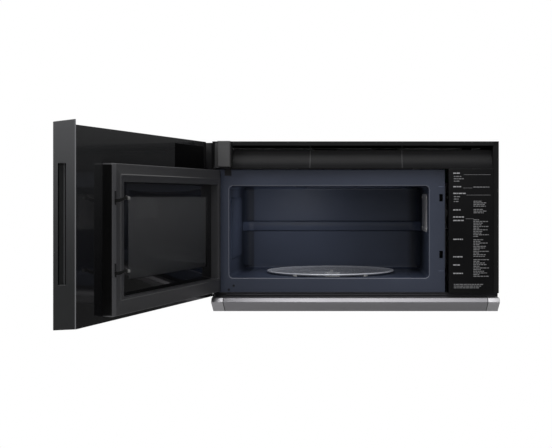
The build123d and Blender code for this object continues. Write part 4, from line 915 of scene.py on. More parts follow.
# %% [markdown]
# ## Boards, windings, filters
#
# Inside the cabinet sit things that a repairer knows: green boards with copper
# tracks, laminated iron under varnish, mica board, granules of charcoal and
# aluminium mesh. Each has one plain pattern that says what it is.

# %% Inner finishes
def circuit_board(name):
    finish = Finish(name, (0.03, 0.12, 0.05))
    track = finish.cells(160.0, "DISTANCE_TO_EDGE").between(0.02, 0.09, 0.02)
    return finish.done(finish.blend(track, (0.012, 0.075, 0.03), (0.05, 0.20, 0.07)),
                       0.30 + 0.2 * track, (track, 0.04, 0.6))


def laminated_iron(name):
    finish = Finish(name, (0.16, 0.11, 0.08), metallic=0.5)
    sheets = finish.axes()[2].math("FRACT").between(0.1, 0.8, 0.12)
    rust = (finish.noise(35.0, 4.0) * sheets).clamped()
    return finish.done(finish.blend(rust, (0.05, 0.035, 0.03), (0.30, 0.20, 0.14)), 0.45, (sheets, 0.15, 0.6))


def mica_board(name, color):
    finish = Finish(name, color)
    flake = finish.cells(85.0, output="Color")
    fibre = finish.noise(1.0, vector=finish.stretched((200.0, 40.0, 500.0)))
    return finish.done(finish.shades((0.6 * flake + 0.4 * fibre).clamped(), 0.75, 1.2),
                       0.35 + 0.35 * flake, (fibre, 0.05, 0.5))


def granules(name, pale, dark):
    finish = Finish(name, dark)
    grain = finish.cells(420.0)
    # painted light and shade: each granule is pale at its middle and dark towards its neighbours
    return finish.done(finish.blend((grain * 1.6).clamped(), pale, dark), 0.8, (1 - grain, 1.2, 0.9))


def expanded_mesh(name, color, pitch):
    """Layered aluminium mesh: two crossed sets of waves, dark where both dip."""
    finish = Finish(name, color, metallic=1.0)
    x, y, _ = finish.axes()
    first, second = (((x + y * lean) * (2 * math.pi / pitch)).math("SINE") for lean in (1.7, -1.7))
    strand = (0.5 + 0.5 * first.math("MAXIMUM", second)).clamped()
    return finish.done(finish.shades(strand.above(0.55, 0.4), 0.10, 1.0),
                       0.28 + 0.3 * finish.noise(40.0), (strand, 0.8, 0.9))


def printed_ink(name, color):
    finish = Finish(name, color, gloss=0.3)
    return finish.done(finish.shades(finish.noise(120.0, 2.0), 0.7, 1.0), 0.5)


board_green = circuit_board("green_circuit_board")
iron = laminated_iron("varnished_laminations")
mica = mica_board("mica_cover_board", (0.44, 0.43, 0.44))
charcoal = granules("charcoal_granules", (0.05, 0.05, 0.05), (0.006, 0.006, 0.006))
filter_mesh = expanded_mesh("aluminium_mesh", (0.50, 0.50, 0.50), 3.2)
guide_ink = printed_ink("guide_ink", (0.30, 0.30, 0.31))
faint_ink = printed_ink("faint_guide_ink", (0.17, 0.17, 0.175))
print("materials", len(bpy.data.materials))

# %% [markdown]
# ## The cavity and its face plate
#
# On the real oven the cavity is drawn and welded steel: a box whose back corners
# are wide arcs, welded behind a flat plate, and enamelled with it in one go. It
# is drawn here as loops of a rounded rectangle, which run over the rolled mouth,
# down the walls and round the back corners to the back wall. The plate is a ring
# round the mouth and a lattice beyond it, so that the two latch slots can be
# left open. Both are open sheets that get their thickness from a Solidify.

# %% Cavity shell
FACE_Y = plate_low[1]
WALL_SHEET = 1.0
MOUTH_LOW = np.array([-337.0, -137.4])
MOUTH_HIGH = np.array([196.0, 108.2])
MOUTH_MIDDLE = (MOUTH_LOW + MOUTH_HIGH) / 2
MOUTH_CORNER = 10.0
MOUTH_ROLL = 2.2
BACK_CORNER = 34.0
FLOOR_COVE = 9.0
BACK_Y = cavity_high[1] - WALL_SHEET
BEFORE_MOUTH = (MOUTH_MIDDLE[0], FACE_Y - 400.0, MOUTH_MIDDLE[1])


def mouth_loop(grow):
    """The mouth's outline, larger by grow on every side."""
    return rectangle_loop(MOUTH_LOW[0] - grow, MOUTH_HIGH[0] + grow, MOUTH_LOW[1] - grow,
                          MOUTH_HIGH[1] + grow, MOUTH_CORNER + grow, 8)


def sideways_share(loop):
    """1 where the loop faces left or right, 0 where it faces up or down."""
    half = (MOUTH_HIGH - MOUTH_LOW) / 2 - MOUTH_CORNER
    beyond = np.maximum(np.abs(loop - MOUTH_MIDDLE) - half, 0)
    return beyond[:, :1] / np.maximum(beyond.sum(axis=1, keepdims=True), 1e-6)


def cavity_loops():
    """Loops from the flange to the back wall.

    The mouth is a quarter roll: grow = roll * (1 - sin t), depth = roll * (1 - cos t).
    The back corner has radius R, from 34 at the sides to 9 above and below:
    the wall moves in by R (1 - cos t) while the depth grows by R sin t.
    """
    loops = [layer(mouth_loop(MOUTH_ROLL * (1 - math.sin(t))), 1, FACE_Y + MOUTH_ROLL * (1 - math.cos(t)))
             for t in quarter(5)]
    base = mouth_loop(0.0)
    loops += [layer(base, 1, FACE_Y + depth) for depth in (60.0, 160.0, 260.0)]
    share = sideways_share(base)
    radius = FLOOR_COVE + (BACK_CORNER - FLOOR_COVE) * share
    for t in quarter(10):
        inset = radius * (1 - math.cos(t)) * np.hstack([share, 1 - share])
        depth = BACK_Y - radius[:, 0] * (1 - math.sin(t))
        loops.append(layer(base - np.sign(base - MOUTH_MIDDLE) * inset, 1, depth))
    return loops


cavity = Shape()
loops = cavity_loops()
cavity.grid(loops, close_columns=True).cap(loops[-1])
cavity_piece = cavity.make("oven_cavity_lining", lining_finish, "cabinet", replaces=["oven_cavity"],
                           seen_from=BEFORE_MOUTH)
walled(cavity_piece, WALL_SHEET)
print("cavity loops", len(loops))

# %% [markdown]
# ## The well in the floor
#
# The tray's ring of wheels runs in a round well, pressed about 13 mm deep into
# the floor, so that the tray itself lies just above the floor. The lining is cut
# open with a cylinder, and a pan with rolled edges is turned round the spindle
# and set into the hole.

# %% Well pan
tray_low, tray_high = cabinet_box("glass_tray")
tray_centre = (tray_low[:2] + tray_high[:2]) / 2
spindle = (*tray_centre, 0.0)
WELL_RADIUS = 172.0
WELL_DEPTH = 13.4
WELL_HOLE = WELL_RADIUS + 2.4
WELL_FOLD = 3.0
PAN_SHEET = 0.9
FLOOR_RISE = 1.0


def arc_points(centre, radius, first, last, steps=6):
    """Points on a circle from the angle first to the angle last, in degrees."""
    t = np.radians(np.linspace(first, last, steps))
    return np.column_stack([centre[0] + radius * np.cos(t), centre[1] + radius * np.sin(t)])


def well_section():
    """Closed (radius, z) outline: floor, cove, wall, rolled rim, and back below by one sheet."""
    rim = MOUTH_LOW[1] + FLOOR_RISE + 0.12
    foot = MOUTH_LOW[1] - WELL_DEPTH
    cove = (WELL_RADIUS - WELL_FOLD, foot + WELL_FOLD)
    roll = (WELL_RADIUS + WELL_FOLD, rim - WELL_FOLD)
    edge = roll[0] + 0.6
    return np.vstack([
        [(0.0, foot)], arc_points(cove, WELL_FOLD, -90, 0), arc_points(roll, WELL_FOLD, 180, 90),
        [(edge, rim), (edge, rim - 0.3)], arc_points(roll, WELL_FOLD - PAN_SHEET, 90, 180),
        arc_points(cove, WELL_FOLD + PAN_SHEET, 0, -90), [(0.0, foot - PAN_SHEET)]])


well = Shape().grid(turned(well_section(), spindle, 128), close_columns=True)
well.make("turntable_well", inner_enamel, "cabinet", slot="enamel")
bore = [(WELL_HOLE, MOUTH_LOW[1] - 5.0), (WELL_HOLE, MOUTH_LOW[1] + 5.0)]
cut_away(cavity_piece, Shape().loft(turned(bore, spindle, 128)))
print("well depth", WELL_DEPTH)

# %% Face plate with its latch slots
SURROUND = 14.0
LATCH_X = 228.5
LATCH_SLOT = (9.4, 19.6)
LATCH_HEIGHTS = (76.7, -74.9)


def on_face(pairs):
    return layer(pairs, 1, FACE_Y)


slot_holes = [(LATCH_X - LATCH_SLOT[0] / 2, LATCH_X + LATCH_SLOT[0] / 2,
               height - LATCH_SLOT[1] / 2, height + LATCH_SLOT[1] / 2) for height in LATCH_HEIGHTS]
mouth_hole = (MOUTH_LOW[0] - SURROUND, MOUTH_HIGH[0] + SURROUND,
              MOUTH_LOW[1] - SURROUND, MOUTH_HIGH[1] + SURROUND)
across = sorted({plate_low[0], plate_high[0], *mouth_hole[:2], *slot_holes[0][:2]})
up = sorted({plate_low[2], plate_high[2], *mouth_hole[2:], *slot_holes[0][2:], *slot_holes[1][2:]})
plate = Shape().lattice(across, up, on_face, [mouth_hole, *slot_holes])
plate.grid([on_face(rectangle_loop(*mouth_hole, 0.02, 8)), on_face(mouth_loop(MOUTH_ROLL))],
           close_columns=True)
plate_piece = plate.make("mouth_face_plate", enamel, "cabinet", replaces=["face_plate"],
                         seen_from=BEFORE_MOUTH)
walled(plate_piece, WALL_SHEET)
# the embossed lines carry a painted highlight, a lighter copy of the plate's enamel
emboss = Shape()
for height in (106.2, -118.6):
    emboss.slab((LATCH_X - 7.0, FACE_Y - 0.35, height - 0.7),
                (LATCH_X + 7.0, FACE_Y + 0.3, height + 0.7), 0.6, 0.2)
emboss.make("plate_embossed_lines", emboss_highlight_enamel, "cabinet", slot="enamel")
print("plate", len(plate_piece.data.polygons), "faces")

# %% [markdown]
# ## Pressed panels in the cavity
#
# Flat sheet drums, so a press stiffens it: a raised bead across the back, a
# plateau on the left wall where the lamp shines through, a raised floor, a
# cover under the ceiling. All climb in the same soft step.

# %% Plateaus
CLIMB = [(t, (1 - math.cos(math.pi * t)) / 2) for t in np.linspace(0, 1, 7)]


def plateau(shape, low, high, radius, rise, step, axis, base):
    """A raised panel on the wall axis = base: loops move in by step while they climb by rise.

    The climb follows (1 - cos pi t) / 2, which is level at both ends.
    """
    loops = [layer(rectangle_loop(low[0] + step * t, high[0] - step * t, low[1] + step * t,
                                  high[1] - step * t, radius - step * t, 6), axis, base + rise * climb)
             for t, climb in CLIMB]
    shape.grid(loops, close_columns=True).cap(loops[-1])


def closely_spaced(ring, gap):
    """The closed ring with extra points, so that none lie more than gap apart."""
    ends = np.roll(ring, -1, 0)
    counts = np.maximum(1, np.ceil(np.linalg.norm(ends - ring, axis=1) / gap)).astype(int)
    return np.concatenate([first + (last - first) * (np.arange(n) / n)[:, None]
                           for first, last, n in zip(ring, ends, counts)])


def unit(vectors):
    """Each row scaled to a length of 1."""
    return vectors / np.linalg.norm(vectors, axis=1, keepdims=True)


def floor_plateau(shape, low, high, rise, step, base):
    """The raised floor: it climbs as every plateau does and ends at the round well.

    Each point of its rim is joined to the point of the well's edge on the same
    bearing from the spindle.
    """
    outer = closely_spaced(rectangle_loop(low[0], high[0], low[1], high[1], 8.0, 8), 9.0)
    inwards = unit((np.array(low) + high) / 2 - outer)
    loops = [layer(outer + inwards * step * t, 2, base + rise * climb) for t, climb in CLIMB]
    loops.append(layer(tray_centre + unit(outer - tray_centre) * WELL_HOLE, 2, base + rise))
    shape.grid(loops, close_columns=True)


def back_bead(shape, rise, step):
    """A bead that runs right across the back wall and dies out in its two corners.

    In plan it follows the wall: an arc x = R (1 - cos t), y = R (1 - sin t) at
    each corner and a straight between them. It rises by (1 - cos pi s) / 2.
    """
    t = np.linspace(0.12, math.pi / 2, 12)
    from_corner = BACK_CORNER * (1 - np.cos(t))
    x = np.concatenate([MOUTH_LOW[0] + from_corner, MOUTH_HIGH[0] - from_corner[::-1]])
    t = np.concatenate([t, t[::-1]])
    plan = np.column_stack([x, BACK_Y - BACK_CORNER * (1 - np.sin(t))])
    inwards = np.column_stack([-np.sign(x - MOUTH_MIDDLE[0]) * np.cos(t), -np.sin(t)])
    fade = np.minimum(1.0, (t - 0.12) / 0.5)[:, None]
    rows = [(BEAD_FOOT + step * s, rise * climb) for s, climb in CLIMB]
    rows += [(BEAD_HEAD - step * s, rise * climb) for s, climb in CLIMB[::-1]]
    shape.grid([layer(plan + inwards * (lift * fade - 0.15), 2, z) for z, lift in rows])


pressings = Shape()
back_bead(pressings, 4.5, 3.6)
plateau(pressings, (-342.0, -96.0), (-84.0, 79.0), 16.0, 2.7, 9.0, 0, MOUTH_LOW[0] - 0.2)
floor_plateau(pressings, (-291.5, FACE_Y + 2.5), (150.5, BACK_Y - 3), FLOOR_RISE + 0.2, 3.5,
              MOUTH_LOW[1] - 0.2)
plateau(pressings, (-150.0, BACK_Y - 184), (150.0, BACK_Y - 6), 12.0, -4.5, 6.0, 2, MOUTH_HIGH[1] + 0.2)
pressings.make("cavity_pressings", pressed_enamel, "cabinet", slot="enamel", seen_from=BEFORE_MOUTH)
print("pressings", len(pressings.faces), "faces")

# %% [markdown]
# ## Turntable
#
# The tray is pressed glass: a flat floor, a cove, and a rim that turns outwards
# and ends in a bead. A profile turned round the spindle gives all of it. Under
# it, a plastic ring carries three little wheels that run in the well.

# %% Glass tray
TRAY_RADIUS = (tray_high[0] - tray_low[0]) / 2
TRAY_HEIGHT = tray_high[2] - tray_low[2]
TRAY_GLASS = 4.3
TRAY_BEAD = 1.9
tray_glass = tray_glass_finish("pressed_tray_glass", tray_centre, TRAY_RADIUS - 12)


def tray_profile():
    """Closed (radius, z) outline: under the tray outwards, over the rim, and back."""
    under = [(0.0, 0.0), (36.0, 0.0), (37.5, 0.7), (60.0, 0.7), (61.5, 0.0),
             (TRAY_RADIUS - 34, 0.0), (TRAY_RADIUS - 27, 0.9), (TRAY_RADIUS - 16, 3.7),
             (TRAY_RADIUS - 8, TRAY_HEIGHT - 3.9)]
    rim = arc_points((TRAY_RADIUS - TRAY_BEAD, TRAY_HEIGHT - 2.2), TRAY_BEAD, -90, 90, 7)
    over = [(TRAY_RADIUS - 9, TRAY_HEIGHT - 1.0), (TRAY_RADIUS - 18, TRAY_HEIGHT - 2.6),
            (TRAY_RADIUS - 28, TRAY_GLASS + 0.6), (TRAY_RADIUS - 35, TRAY_GLASS), (74.0, TRAY_GLASS),
            (72.5, TRAY_GLASS - 0.5), (70.0, TRAY_GLASS), (0.0, TRAY_GLASS)]
    return np.vstack([under, rim, over]) + (0, tray_low[2])


tray = Shape().grid(turned(tray_profile(), spindle, 128), close_columns=True)
tray.make("turntable_glass_tray", tray_glass, "turntable", replaces=["glass_tray"])
print("tray radius", TRAY_RADIUS)

# %% Roller ring and its wheels
ring_low, ring_high = cabinet_box("roller_ring")
RING_HEIGHT = (ring_low[2] + ring_high[2]) / 2
RING_OUT, RING_IN = 105.0, 99.2
ROLLER_CIRCLE = 114.0
AXLE = [(0.0, -14.5), (2.6, -14.5), (2.6, -10.2), (1.6, -9.6), (1.6, 7.4), (1.2, 8.0), (0.0, 8.0)]
WHEEL = [(1.65, -3.5), (4.6, -3.5), (5.0, -2.9), (6.4, -2.9), (6.9, -2.3), (6.9, 2.3),
         (6.4, 2.9), (5.0, 2.9), (4.6, 3.5), (1.65, 3.5), (1.65, -3.5)]
ring = Shape()
channel = round_corners([(RING_OUT, RING_HEIGHT - 3), (RING_OUT, RING_HEIGHT + 3),
                         (RING_IN, RING_HEIGHT + 3), (RING_IN, RING_HEIGHT - 3)], 1.1, 4)
ring.grid(turned(channel, spindle, 144), close_rows=True, close_columns=True)
for k in range(3):
    angle = math.radians(90 + 120 * k)
    out = np.array([math.cos(angle), math.sin(angle), 0.0])
    hub = (*tray_centre, RING_HEIGHT) + ROLLER_CIRCLE * out
    side = np.cross(upwards, out)
    ring.grid(turned(AXLE, hub, 20, out, side), close_columns=True)
    for turn in (-0.09, 0.09):
        spot = np.array([math.cos(angle + turn), math.sin(angle + turn)]) * (RING_OUT - 2.9) + tray_centre
        ring.slab((*(spot - 3.0), RING_HEIGHT - 3.4), (*(spot + 3.0), RING_HEIGHT + 3.4), 2.0, 0.6, axis=2)
    wheel = Shape().grid(turned(WHEEL, hub, 40, out, side), close_columns=True)
    wheel.make(f"tray_wheel_{k + 1}", white_plastic, f"tray_roller_{k + 1}", replaces=[f"roller_{k + 1}"])
ring.make("roller_ring_frame", vent_plastic, "tray_ring", replaces=["roller_ring"])
print("ring at", round(RING_HEIGHT, 1))

# %% [markdown]
# ## Plates: mica cover, window, bead and patch
#
# Microwaves enter through a port in the right wall behind a sheet of mica board,
# punched from flat stock and held by plastic rivets. Round the door's window lie
# a pane with a printed border and a steel sheet punched with thousands of small
# holes that microwaves can't pass; the holes are a pattern in the finish. All of
# these are thin plates with rounded corners and rims.

# %% Plates and rivets
def fitted_plate(node, name, finish, body, radius, edge, axis=1):
    """A plate in place of a CAD node, as large as it."""
    space, box = (cabinet_space, cabinet_box) if body == "cabinet" else (door_space, door_box)
    low, high = box(node)
    Shape(space).slab(low, high, radius, edge, axis).make(name, finish, body, replaces=[node])
    return low, high


mica_low, mica_high = fitted_plate("wave_cover", "mica_cover", mica, "cabinet", 5.0, 0.25, axis=0)
glass_low, glass_high = fitted_plate("window_glass", "window_inner_pane", window_pane, "door", 3.0, 0.3)
fitted_plate("door_screen", "perforated_screen_sheet", screen_metal, "door", 1.0, 0.1)

DOME = np.column_stack([3.2 * np.cos(quarter(6)), 1.3 * np.sin(quarter(6))])
rivets = Shape()
for y in (mica_low[1] + 9, mica_high[1] - 9):
    for z in (mica_low[2] + 9, mica_high[2] - 9):
        dome = turned(DOME, (mica_low[0], y, z), 24, (-1, 0, 0), (0, 1, 0))
        rivets.grid(dome, close_columns=True).cap(dome[0])
rivets.make("mica_rivets", white_plastic, "cabinet", slot="white_plastic")
print("pane", (glass_high - glass_low).round(1))

# %% [markdown]
# ## Trim bar
#
# A strip of stainless steel is roll-formed into a lip that hides the oven's
# underside and gives the hands a place when it is lifted. Its nose is a bend
# with a few millimetres of radius, and two moulded caps in the same colour close
# its ends, each with a hairline joint. Bar and caps share one (y, z) profile.

# %% Bar and caps
bar_low, bar_high = cabinet_box("trim_bar")
caps_low, caps_high = cabinet_box("trim_bar_caps")
BAR_LEAN = 8.0
BAR_EDGE_DROP = 11.6
JOINT_WIDTH = 1.8
CAP_LENGTH = bar_low[0] - caps_low[0] - JOINT_WIDTH
BAR_PROFILE = round_corners([(FACE_Y, bar_high[2]), (bar_low[1] + BAR_LEAN, bar_high[2]),
                             (bar_low[1], bar_high[2] - BAR_EDGE_DROP), (FACE_Y, bar_low[2])],
                            (0.6, 2.0, 2.6, 0.6), 6)


def end_rounded_bar(shape, x0, x1, edge0, edge1):
    """The bar's profile along x; at each end it shrinks round a quarter circle of radius edge.

    The shrink is towards the profile's middle, edge * (1 - cos t) at edge * (1 - sin t) from the end.
    """
    middle = BAR_PROFILE.mean(axis=0)
    size = np.linalg.norm(BAR_PROFILE - middle, axis=1, keepdims=True)
    t = quarter(5)
    places = [*(x0 + edge0 * (1 - np.sin(t[::-1]))), *(x1 - edge1 * (1 - np.sin(t)))]
    shrinks = [*(edge0 * (1 - np.cos(t[::-1]))), *(edge1 * (1 - np.cos(t)))]
    shape.loft([layer(middle + (BAR_PROFILE - middle) * (1 - shrink / size), 0, x)
                for x, shrink in zip(places, shrinks)])


bar = Shape()
end_rounded_bar(bar, bar_low[0], bar_high[0], 0.25, 0.25)
bar.make("steel_trim_bar", trim_steel, "cabinet", replaces=["trim_bar"])
caps = Shape()
end_rounded_bar(caps, caps_low[0], caps_low[0] + CAP_LENGTH, 1.6, 0.25)
end_rounded_bar(caps, caps_high[0] - CAP_LENGTH, caps_high[0], 0.25, 1.6)
caps.make("trim_bar_end_caps", cap_silver, "cabinet", replaces=["trim_bar_caps"])
gaskets = Shape()
inset_profile = BAR_PROFILE.mean(axis=0) + (BAR_PROFILE - BAR_PROFILE.mean(axis=0)) * 0.97
for edge in (bar_low[0] - JOINT_WIDTH, bar_high[0]):
    gaskets.bar(inset_profile, edge - 0.1, edge + JOINT_WIDTH + 0.1)
gaskets.make("trim_joint_gaskets", soft_black, "cabinet", slot="black_plastic")
print("bar", bar_low.round(1), bar_high.round(1))

# %% [markdown]
# ## Air outlet
#
# Above the door the blower breathes out through a wide slot. One moulding makes
# it: a thin strip along the top edge, a ramp that curves the air forwards, and
# ribs that keep the strip from sagging. The ramp is an arc through three
# points, carried from side to side.

# %% Vent moulding
vent_low, vent_high = cabinet_box("vent_deflector")
VENT_FRONT, VENT_FOOT, VENT_HEAD = vent_low[1], vent_low[2], vent_high[2]
STRIP_HEIGHT = 11.3
RAMP_TOP = VENT_HEAD - 22.0
SEAM_PLACES = (-121.0, 124.0)
DUCT_SIDE = 152.0
DUCT_WALL = 1.6


def arc_through(first, middle, last, steps):
    """Points on the circle through three points, from the first to the last.

    Its centre is as far from all three, which makes two linear equations.
    """
    first, middle, last = (np.array(point) for point in (first, middle, last))
    centre = np.linalg.solve(2 * np.array([middle - first, last - first]),
                             [middle @ middle - first @ first, last @ last - first @ first])
    angles = np.unwrap([math.atan2(y, x) for x, y in (first - centre, middle - centre, last - centre)])
    return arc_points(centre, np.linalg.norm(first - centre), *np.degrees(angles[[0, 2]]), steps)


ramp_arc = arc_through((FACE_Y + 6.0, RAMP_TOP), (FACE_Y - 4.0, VENT_FOOT + 20.2),
                       (VENT_FRONT, VENT_FOOT + 1.6), 28)
ramp_back = ramp_arc[::-1] + (1.6, -0.4)
ramp_back[0] = (VENT_FRONT + 0.3, VENT_FOOT)
ramp_back[:, 1] = np.maximum(ramp_back[:, 1], VENT_FOOT)
strip = round_corners([(VENT_FRONT, VENT_HEAD - STRIP_HEIGHT), (VENT_FRONT + 2, VENT_HEAD - STRIP_HEIGHT),
                       (VENT_FRONT + 2, VENT_HEAD - 2.7), (FACE_Y + 10, VENT_HEAD - 2.7),
                       (FACE_Y + 10, VENT_HEAD - 1.1), (VENT_FRONT + 2.2, VENT_HEAD - 1.1),
                       (VENT_FRONT + 2.0, VENT_HEAD), (VENT_FRONT, VENT_HEAD)],
                      (0.7, 0.7, 0.5, 0.3, 0.3, 0.05, 0.4, 0.9), 4)
vent = Shape()
for outline in (np.vstack([ramp_arc, ramp_back]), strip):
    vent.bar(outline, vent_low[0], vent_high[0])
for x in (vent_low[0] + 1, vent_high[0] - 1):
    vent.slab((x - 1, VENT_FRONT + 1, VENT_FOOT + 1), (x + 1, FACE_Y + 7, VENT_HEAD - 2), 2.0, 0.5, axis=0)
for x in (-DUCT_SIDE - DUCT_WALL, DUCT_SIDE):
    vent.slab((x, FACE_Y + 5, VENT_FOOT), (x + DUCT_WALL, FACE_Y + 24, RAMP_TOP), 1.0, 0.3, axis=0)
vent.slab((-DUCT_SIDE, FACE_Y + 5, VENT_FOOT),
          (DUCT_SIDE, FACE_Y + 24, VENT_FOOT + DUCT_WALL), 1.0, 0.3, axis=2)
vent.make("air_outlet", vent_plastic, "cabinet", replaces=["vent_deflector"])
rib = np.vstack([ramp_arc, (ramp_arc + (-1.1, 0.5))[::-1]])
rib[:, 0] = np.maximum(rib[:, 0], VENT_FRONT + 0.4)
# the ribs carry a painted highlight, a lighter copy of the outlet's black plastic
outlet_ribs = Shape()
for x in SEAM_PLACES:
    outlet_ribs.bar(rib, x - 0.7, x + 0.7)
    outlet_ribs.slab((x - 0.7, FACE_Y + 1, RAMP_TOP - 8),
                     (x + 0.7, FACE_Y + 7, VENT_HEAD - 2), 1.0, 0.3, axis=0)
outlet_ribs.make("air_outlet_ribs", rib_highlight_plastic, "cabinet", slot="black_plastic")
print("ramp points", len(ramp_arc))

# %% [markdown]
# ## Guide panel and its print
#
# The narrow panel at the right carries a screen-printed guide. Its print here is
# generic: bars that stand for lines of text, ruled lines, and a small table.
# Ink from a screen stands a few hundredths proud, so each mark is a very thin
# plate that sits on the panel.

# %% Guide panel
guide_low, guide_high = cabinet_box("guide_panel")
panel = Shape()
panel.slab(guide_low, (guide_high[0], guide_low[1] + 6.0, guide_high[2]), 1.6, 1.2)
panel.slab((guide_low[0], guide_low[1] + 1.5, guide_low[2] + 0.6),
           (guide_low[0] + 2.0, guide_high[1], guide_high[2] - 0.6), 1.0, 0.4, axis=0)
panel.make("guide_panel_face", panel_plastic, "cabinet", replaces=["guide_panel"])

PIXELS_PER_MM = 0.3777
INK = 0.12
HEADING_LEFT, SMALL_LEFT, TABLE_LEFT = 453.2, 453.8, 473.4


def printed_mark(shape, left, right, top, bottom):
    """A mark between pixel columns and rows of the picture, laid on the panel."""
    x = [(value - PRINCIPAL[0]) / PIXELS_PER_MM for value in (left, right)]
    z = [CAMERA_PLACE[2] - (value - PRINCIPAL[1]) / PIXELS_PER_MM for value in (bottom, top)]
    shape.block((x[0], guide_low[1] - INK, z[0]), (x[1], guide_low[1] + 0.1, z[1]))


def printed_line(shape, left, right, top, height=0.8):
    """Word-like bars from left to right, of lengths drawn from a seeded generator."""
    at = left
    while at < right - 0.8:
        end = min(at + words.uniform(1.3, 3.6), right)
        printed_mark(shape, at, end, top, top + height)
        at = end + 0.55


words = np.random.default_rng(7)
HEADINGS = ((172.6, 460.7), (186.1, 461.1), (192.8, 465.6), (209.3, 461.8), (216.4, 463.9),
            (219.9, 464.6), (238.7, 462.9), (256.2, 463.2), (264.4, 460.7), (272.8, 464.1))
SMALL_LINES = ((176.0, 462.1), (178.3, 464.1), (180.7, 459.3),
               (196.2, 460.0), (198.6, 458.6), (201.0, 459.0))
RULES = ((463.9, 490.7, 174.5), (463.0, 472.4, 187.8), (466.4, 490.7, 194.9), (465.6, 473.6, 218.6))
ink = Shape()
for top, right in HEADINGS:
    printed_line(ink, HEADING_LEFT, right, top, 1.15)
faint = Shape()
for top, right in SMALL_LINES:
    printed_line(faint, SMALL_LEFT, right, top, 0.9)
for left, right, top in RULES:
    printed_mark(faint, left, right, top, top + 0.3)
printed_line(faint, TABLE_LEFT - 0.1, 489.3, 186.6, 0.9)
for row in range(8):
    if row != 4:
        printed_line(faint, TABLE_LEFT + 0.1, 482.0 + 5.5 * abs(math.sin(1.3 * row)), 200.8 + 1.65 * row)
for row in range(36):
    if row % 12 != 11:
        printed_line(faint, TABLE_LEFT, 479.0 + 10.0 * abs(math.sin(1.9 * row)) ** 2, 219.4 + 1.66 * row)
for row in range(3):
    printed_line(faint, SMALL_LEFT + 0.1, 483.0 - 2.0 * row, 284.0 + 1.7 * row)
ink.make("guide_headings", guide_ink, "cabinet", slot="grey_plastic", smooth=30.0)
faint.make("guide_lines", faint_ink, "cabinet", slot="grey_plastic", smooth=30.0)
print("marks", (len(ink.faces) + len(faint.faces)) // 6)

# %% [markdown]
# ## Choke frame
#
# Round the window the door carries a raised plastic frame. It covers the choke,
# the channel that keeps microwaves in, and when the door shuts it enters the
# mouth of the oven. It is one closed ring: up the outer wall, over a rounded
# rim, across the face with a thin ridge, over the soft edge of the window recess
# and down its wall. Each step is a loop of a rounded rectangle in door space.

# %% Choke ring
choke_low, choke_high = door_box("choke_frame")
CHOKE_FOOT = choke_low[1]
CHOKE_CORNER = 5.0
RIM = 1.8
RECESS_EDGE = 2.0
RIDGE_V = choke_high[1]
FACE_V = RIDGE_V - 1.9
BAND_V = RIDGE_V - 0.5
OUTER = (choke_low[[0, 2]], choke_high[[0, 2]])
RECESS = (glass_low[[0, 2]] - 0.3, glass_high[[0, 2]] + 0.3)
RIDGE = (RECESS[0] - (14.0, 5.0), RECESS[1] + (16.0, 16.0))
RIDGE_STEPS = ((1.0, FACE_V), (0.5, FACE_V + 0.15), (0.0, FACE_V + 0.6), (-0.9, FACE_V + 1.4),
               (-1.4, RIDGE_V - 0.12), (-1.9, RIDGE_V), (-2.6, RIDGE_V - 0.06),
               (-3.1, BAND_V + 0.15), (-3.7, BAND_V))


def ring_at(box, grow, radius, v):
    """A rounded (u, z) box, larger by grow all round, at the depth v."""
    (low_u, low_z), (high_u, high_z) = box
    return layer(rectangle_loop(low_u - grow, high_u + grow, low_z - grow, high_z + grow, radius, 8), 1, v)


def choke_rings():
    """Loops in (u, v, z) from the foot of the outer wall to the foot of the recess.

    Rim: inset r (1 - cos t), v = face - r (1 - sin t). The ridge climbs from the
    face with a wide flank, which catches the light, and drops to the inner band.
    The recess starts with a quarter circle too.
    """
    rings = [ring_at(OUTER, 0, CHOKE_CORNER, v) for v in (CHOKE_FOOT + 0.2, 6.0, FACE_V - 2.4)]
    for t in quarter(6):
        inset = RIM * (1 - math.cos(t))
        rings.append(ring_at(OUTER, -inset, CHOKE_CORNER - inset, FACE_V - RIM * (1 - math.sin(t))))
    rings += [ring_at(RIDGE, grow, 6.0 + grow, v) for grow, v in RIDGE_STEPS]
    rings.append(ring_at(RECESS, 2.2, 3.4, BAND_V))
    for t in quarter(6):
        grow = RECESS_EDGE * (1 - math.sin(t))
        rings.append(ring_at(RECESS, grow, 1.4 + grow, BAND_V - RECESS_EDGE * (1 - math.cos(t))))
    pane_v = glass_high[1] + 0.25
    rings += [ring_at(RECESS, 0, 1.4, v) for v in (12.0, pane_v)]
    return rings + [ring_at(RECESS, 3.0, 4.0, v) for v in (pane_v, CHOKE_FOOT + 0.2)]


choke = Shape(door_space).grid(choke_rings(), close_rows=True, close_columns=True)
choke_piece = choke.make("choke_frame_moulding", choke_plastic, "door", replaces=["choke_frame"])
# painted highlight: a pale bead by the hinge stands for the bright line on the choke's hinge side
bead = Shape(door_space).slab((11.0, FACE_V - 0.4, -137.0), (22.0, FACE_V + 0.7, 105.0), 1.3, 0.6)
bead.make("choke_hinge_highlight_bead", bead_highlight_plastic, "door", slot="grey_plastic")

# %% Slots for the latch hooks
LATCH_U = LATCH_X - hinge_point[0]
HOOK_SLOT = 29.0
BAR_ROOM = 29.3
cut_away(choke_piece, Shape(door_space).block((LATCH_U - 5, CHOKE_FOOT - 1, LATCH_HEIGHTS[1] - BAR_ROOM),
                                              (LATCH_U + 5, FACE_V - 5, LATCH_HEIGHTS[0] + BAR_ROOM)))
for height in LATCH_HEIGHTS:
    cut_away(choke_piece, Shape(door_space).block((LATCH_U - 4, 10.0, height - HOOK_SLOT / 2),
                                                  (LATCH_U + 4, RIDGE_V + 2, height + HOOK_SLOT / 2)))
print("choke", len(choke_piece.data.polygons), "faces")

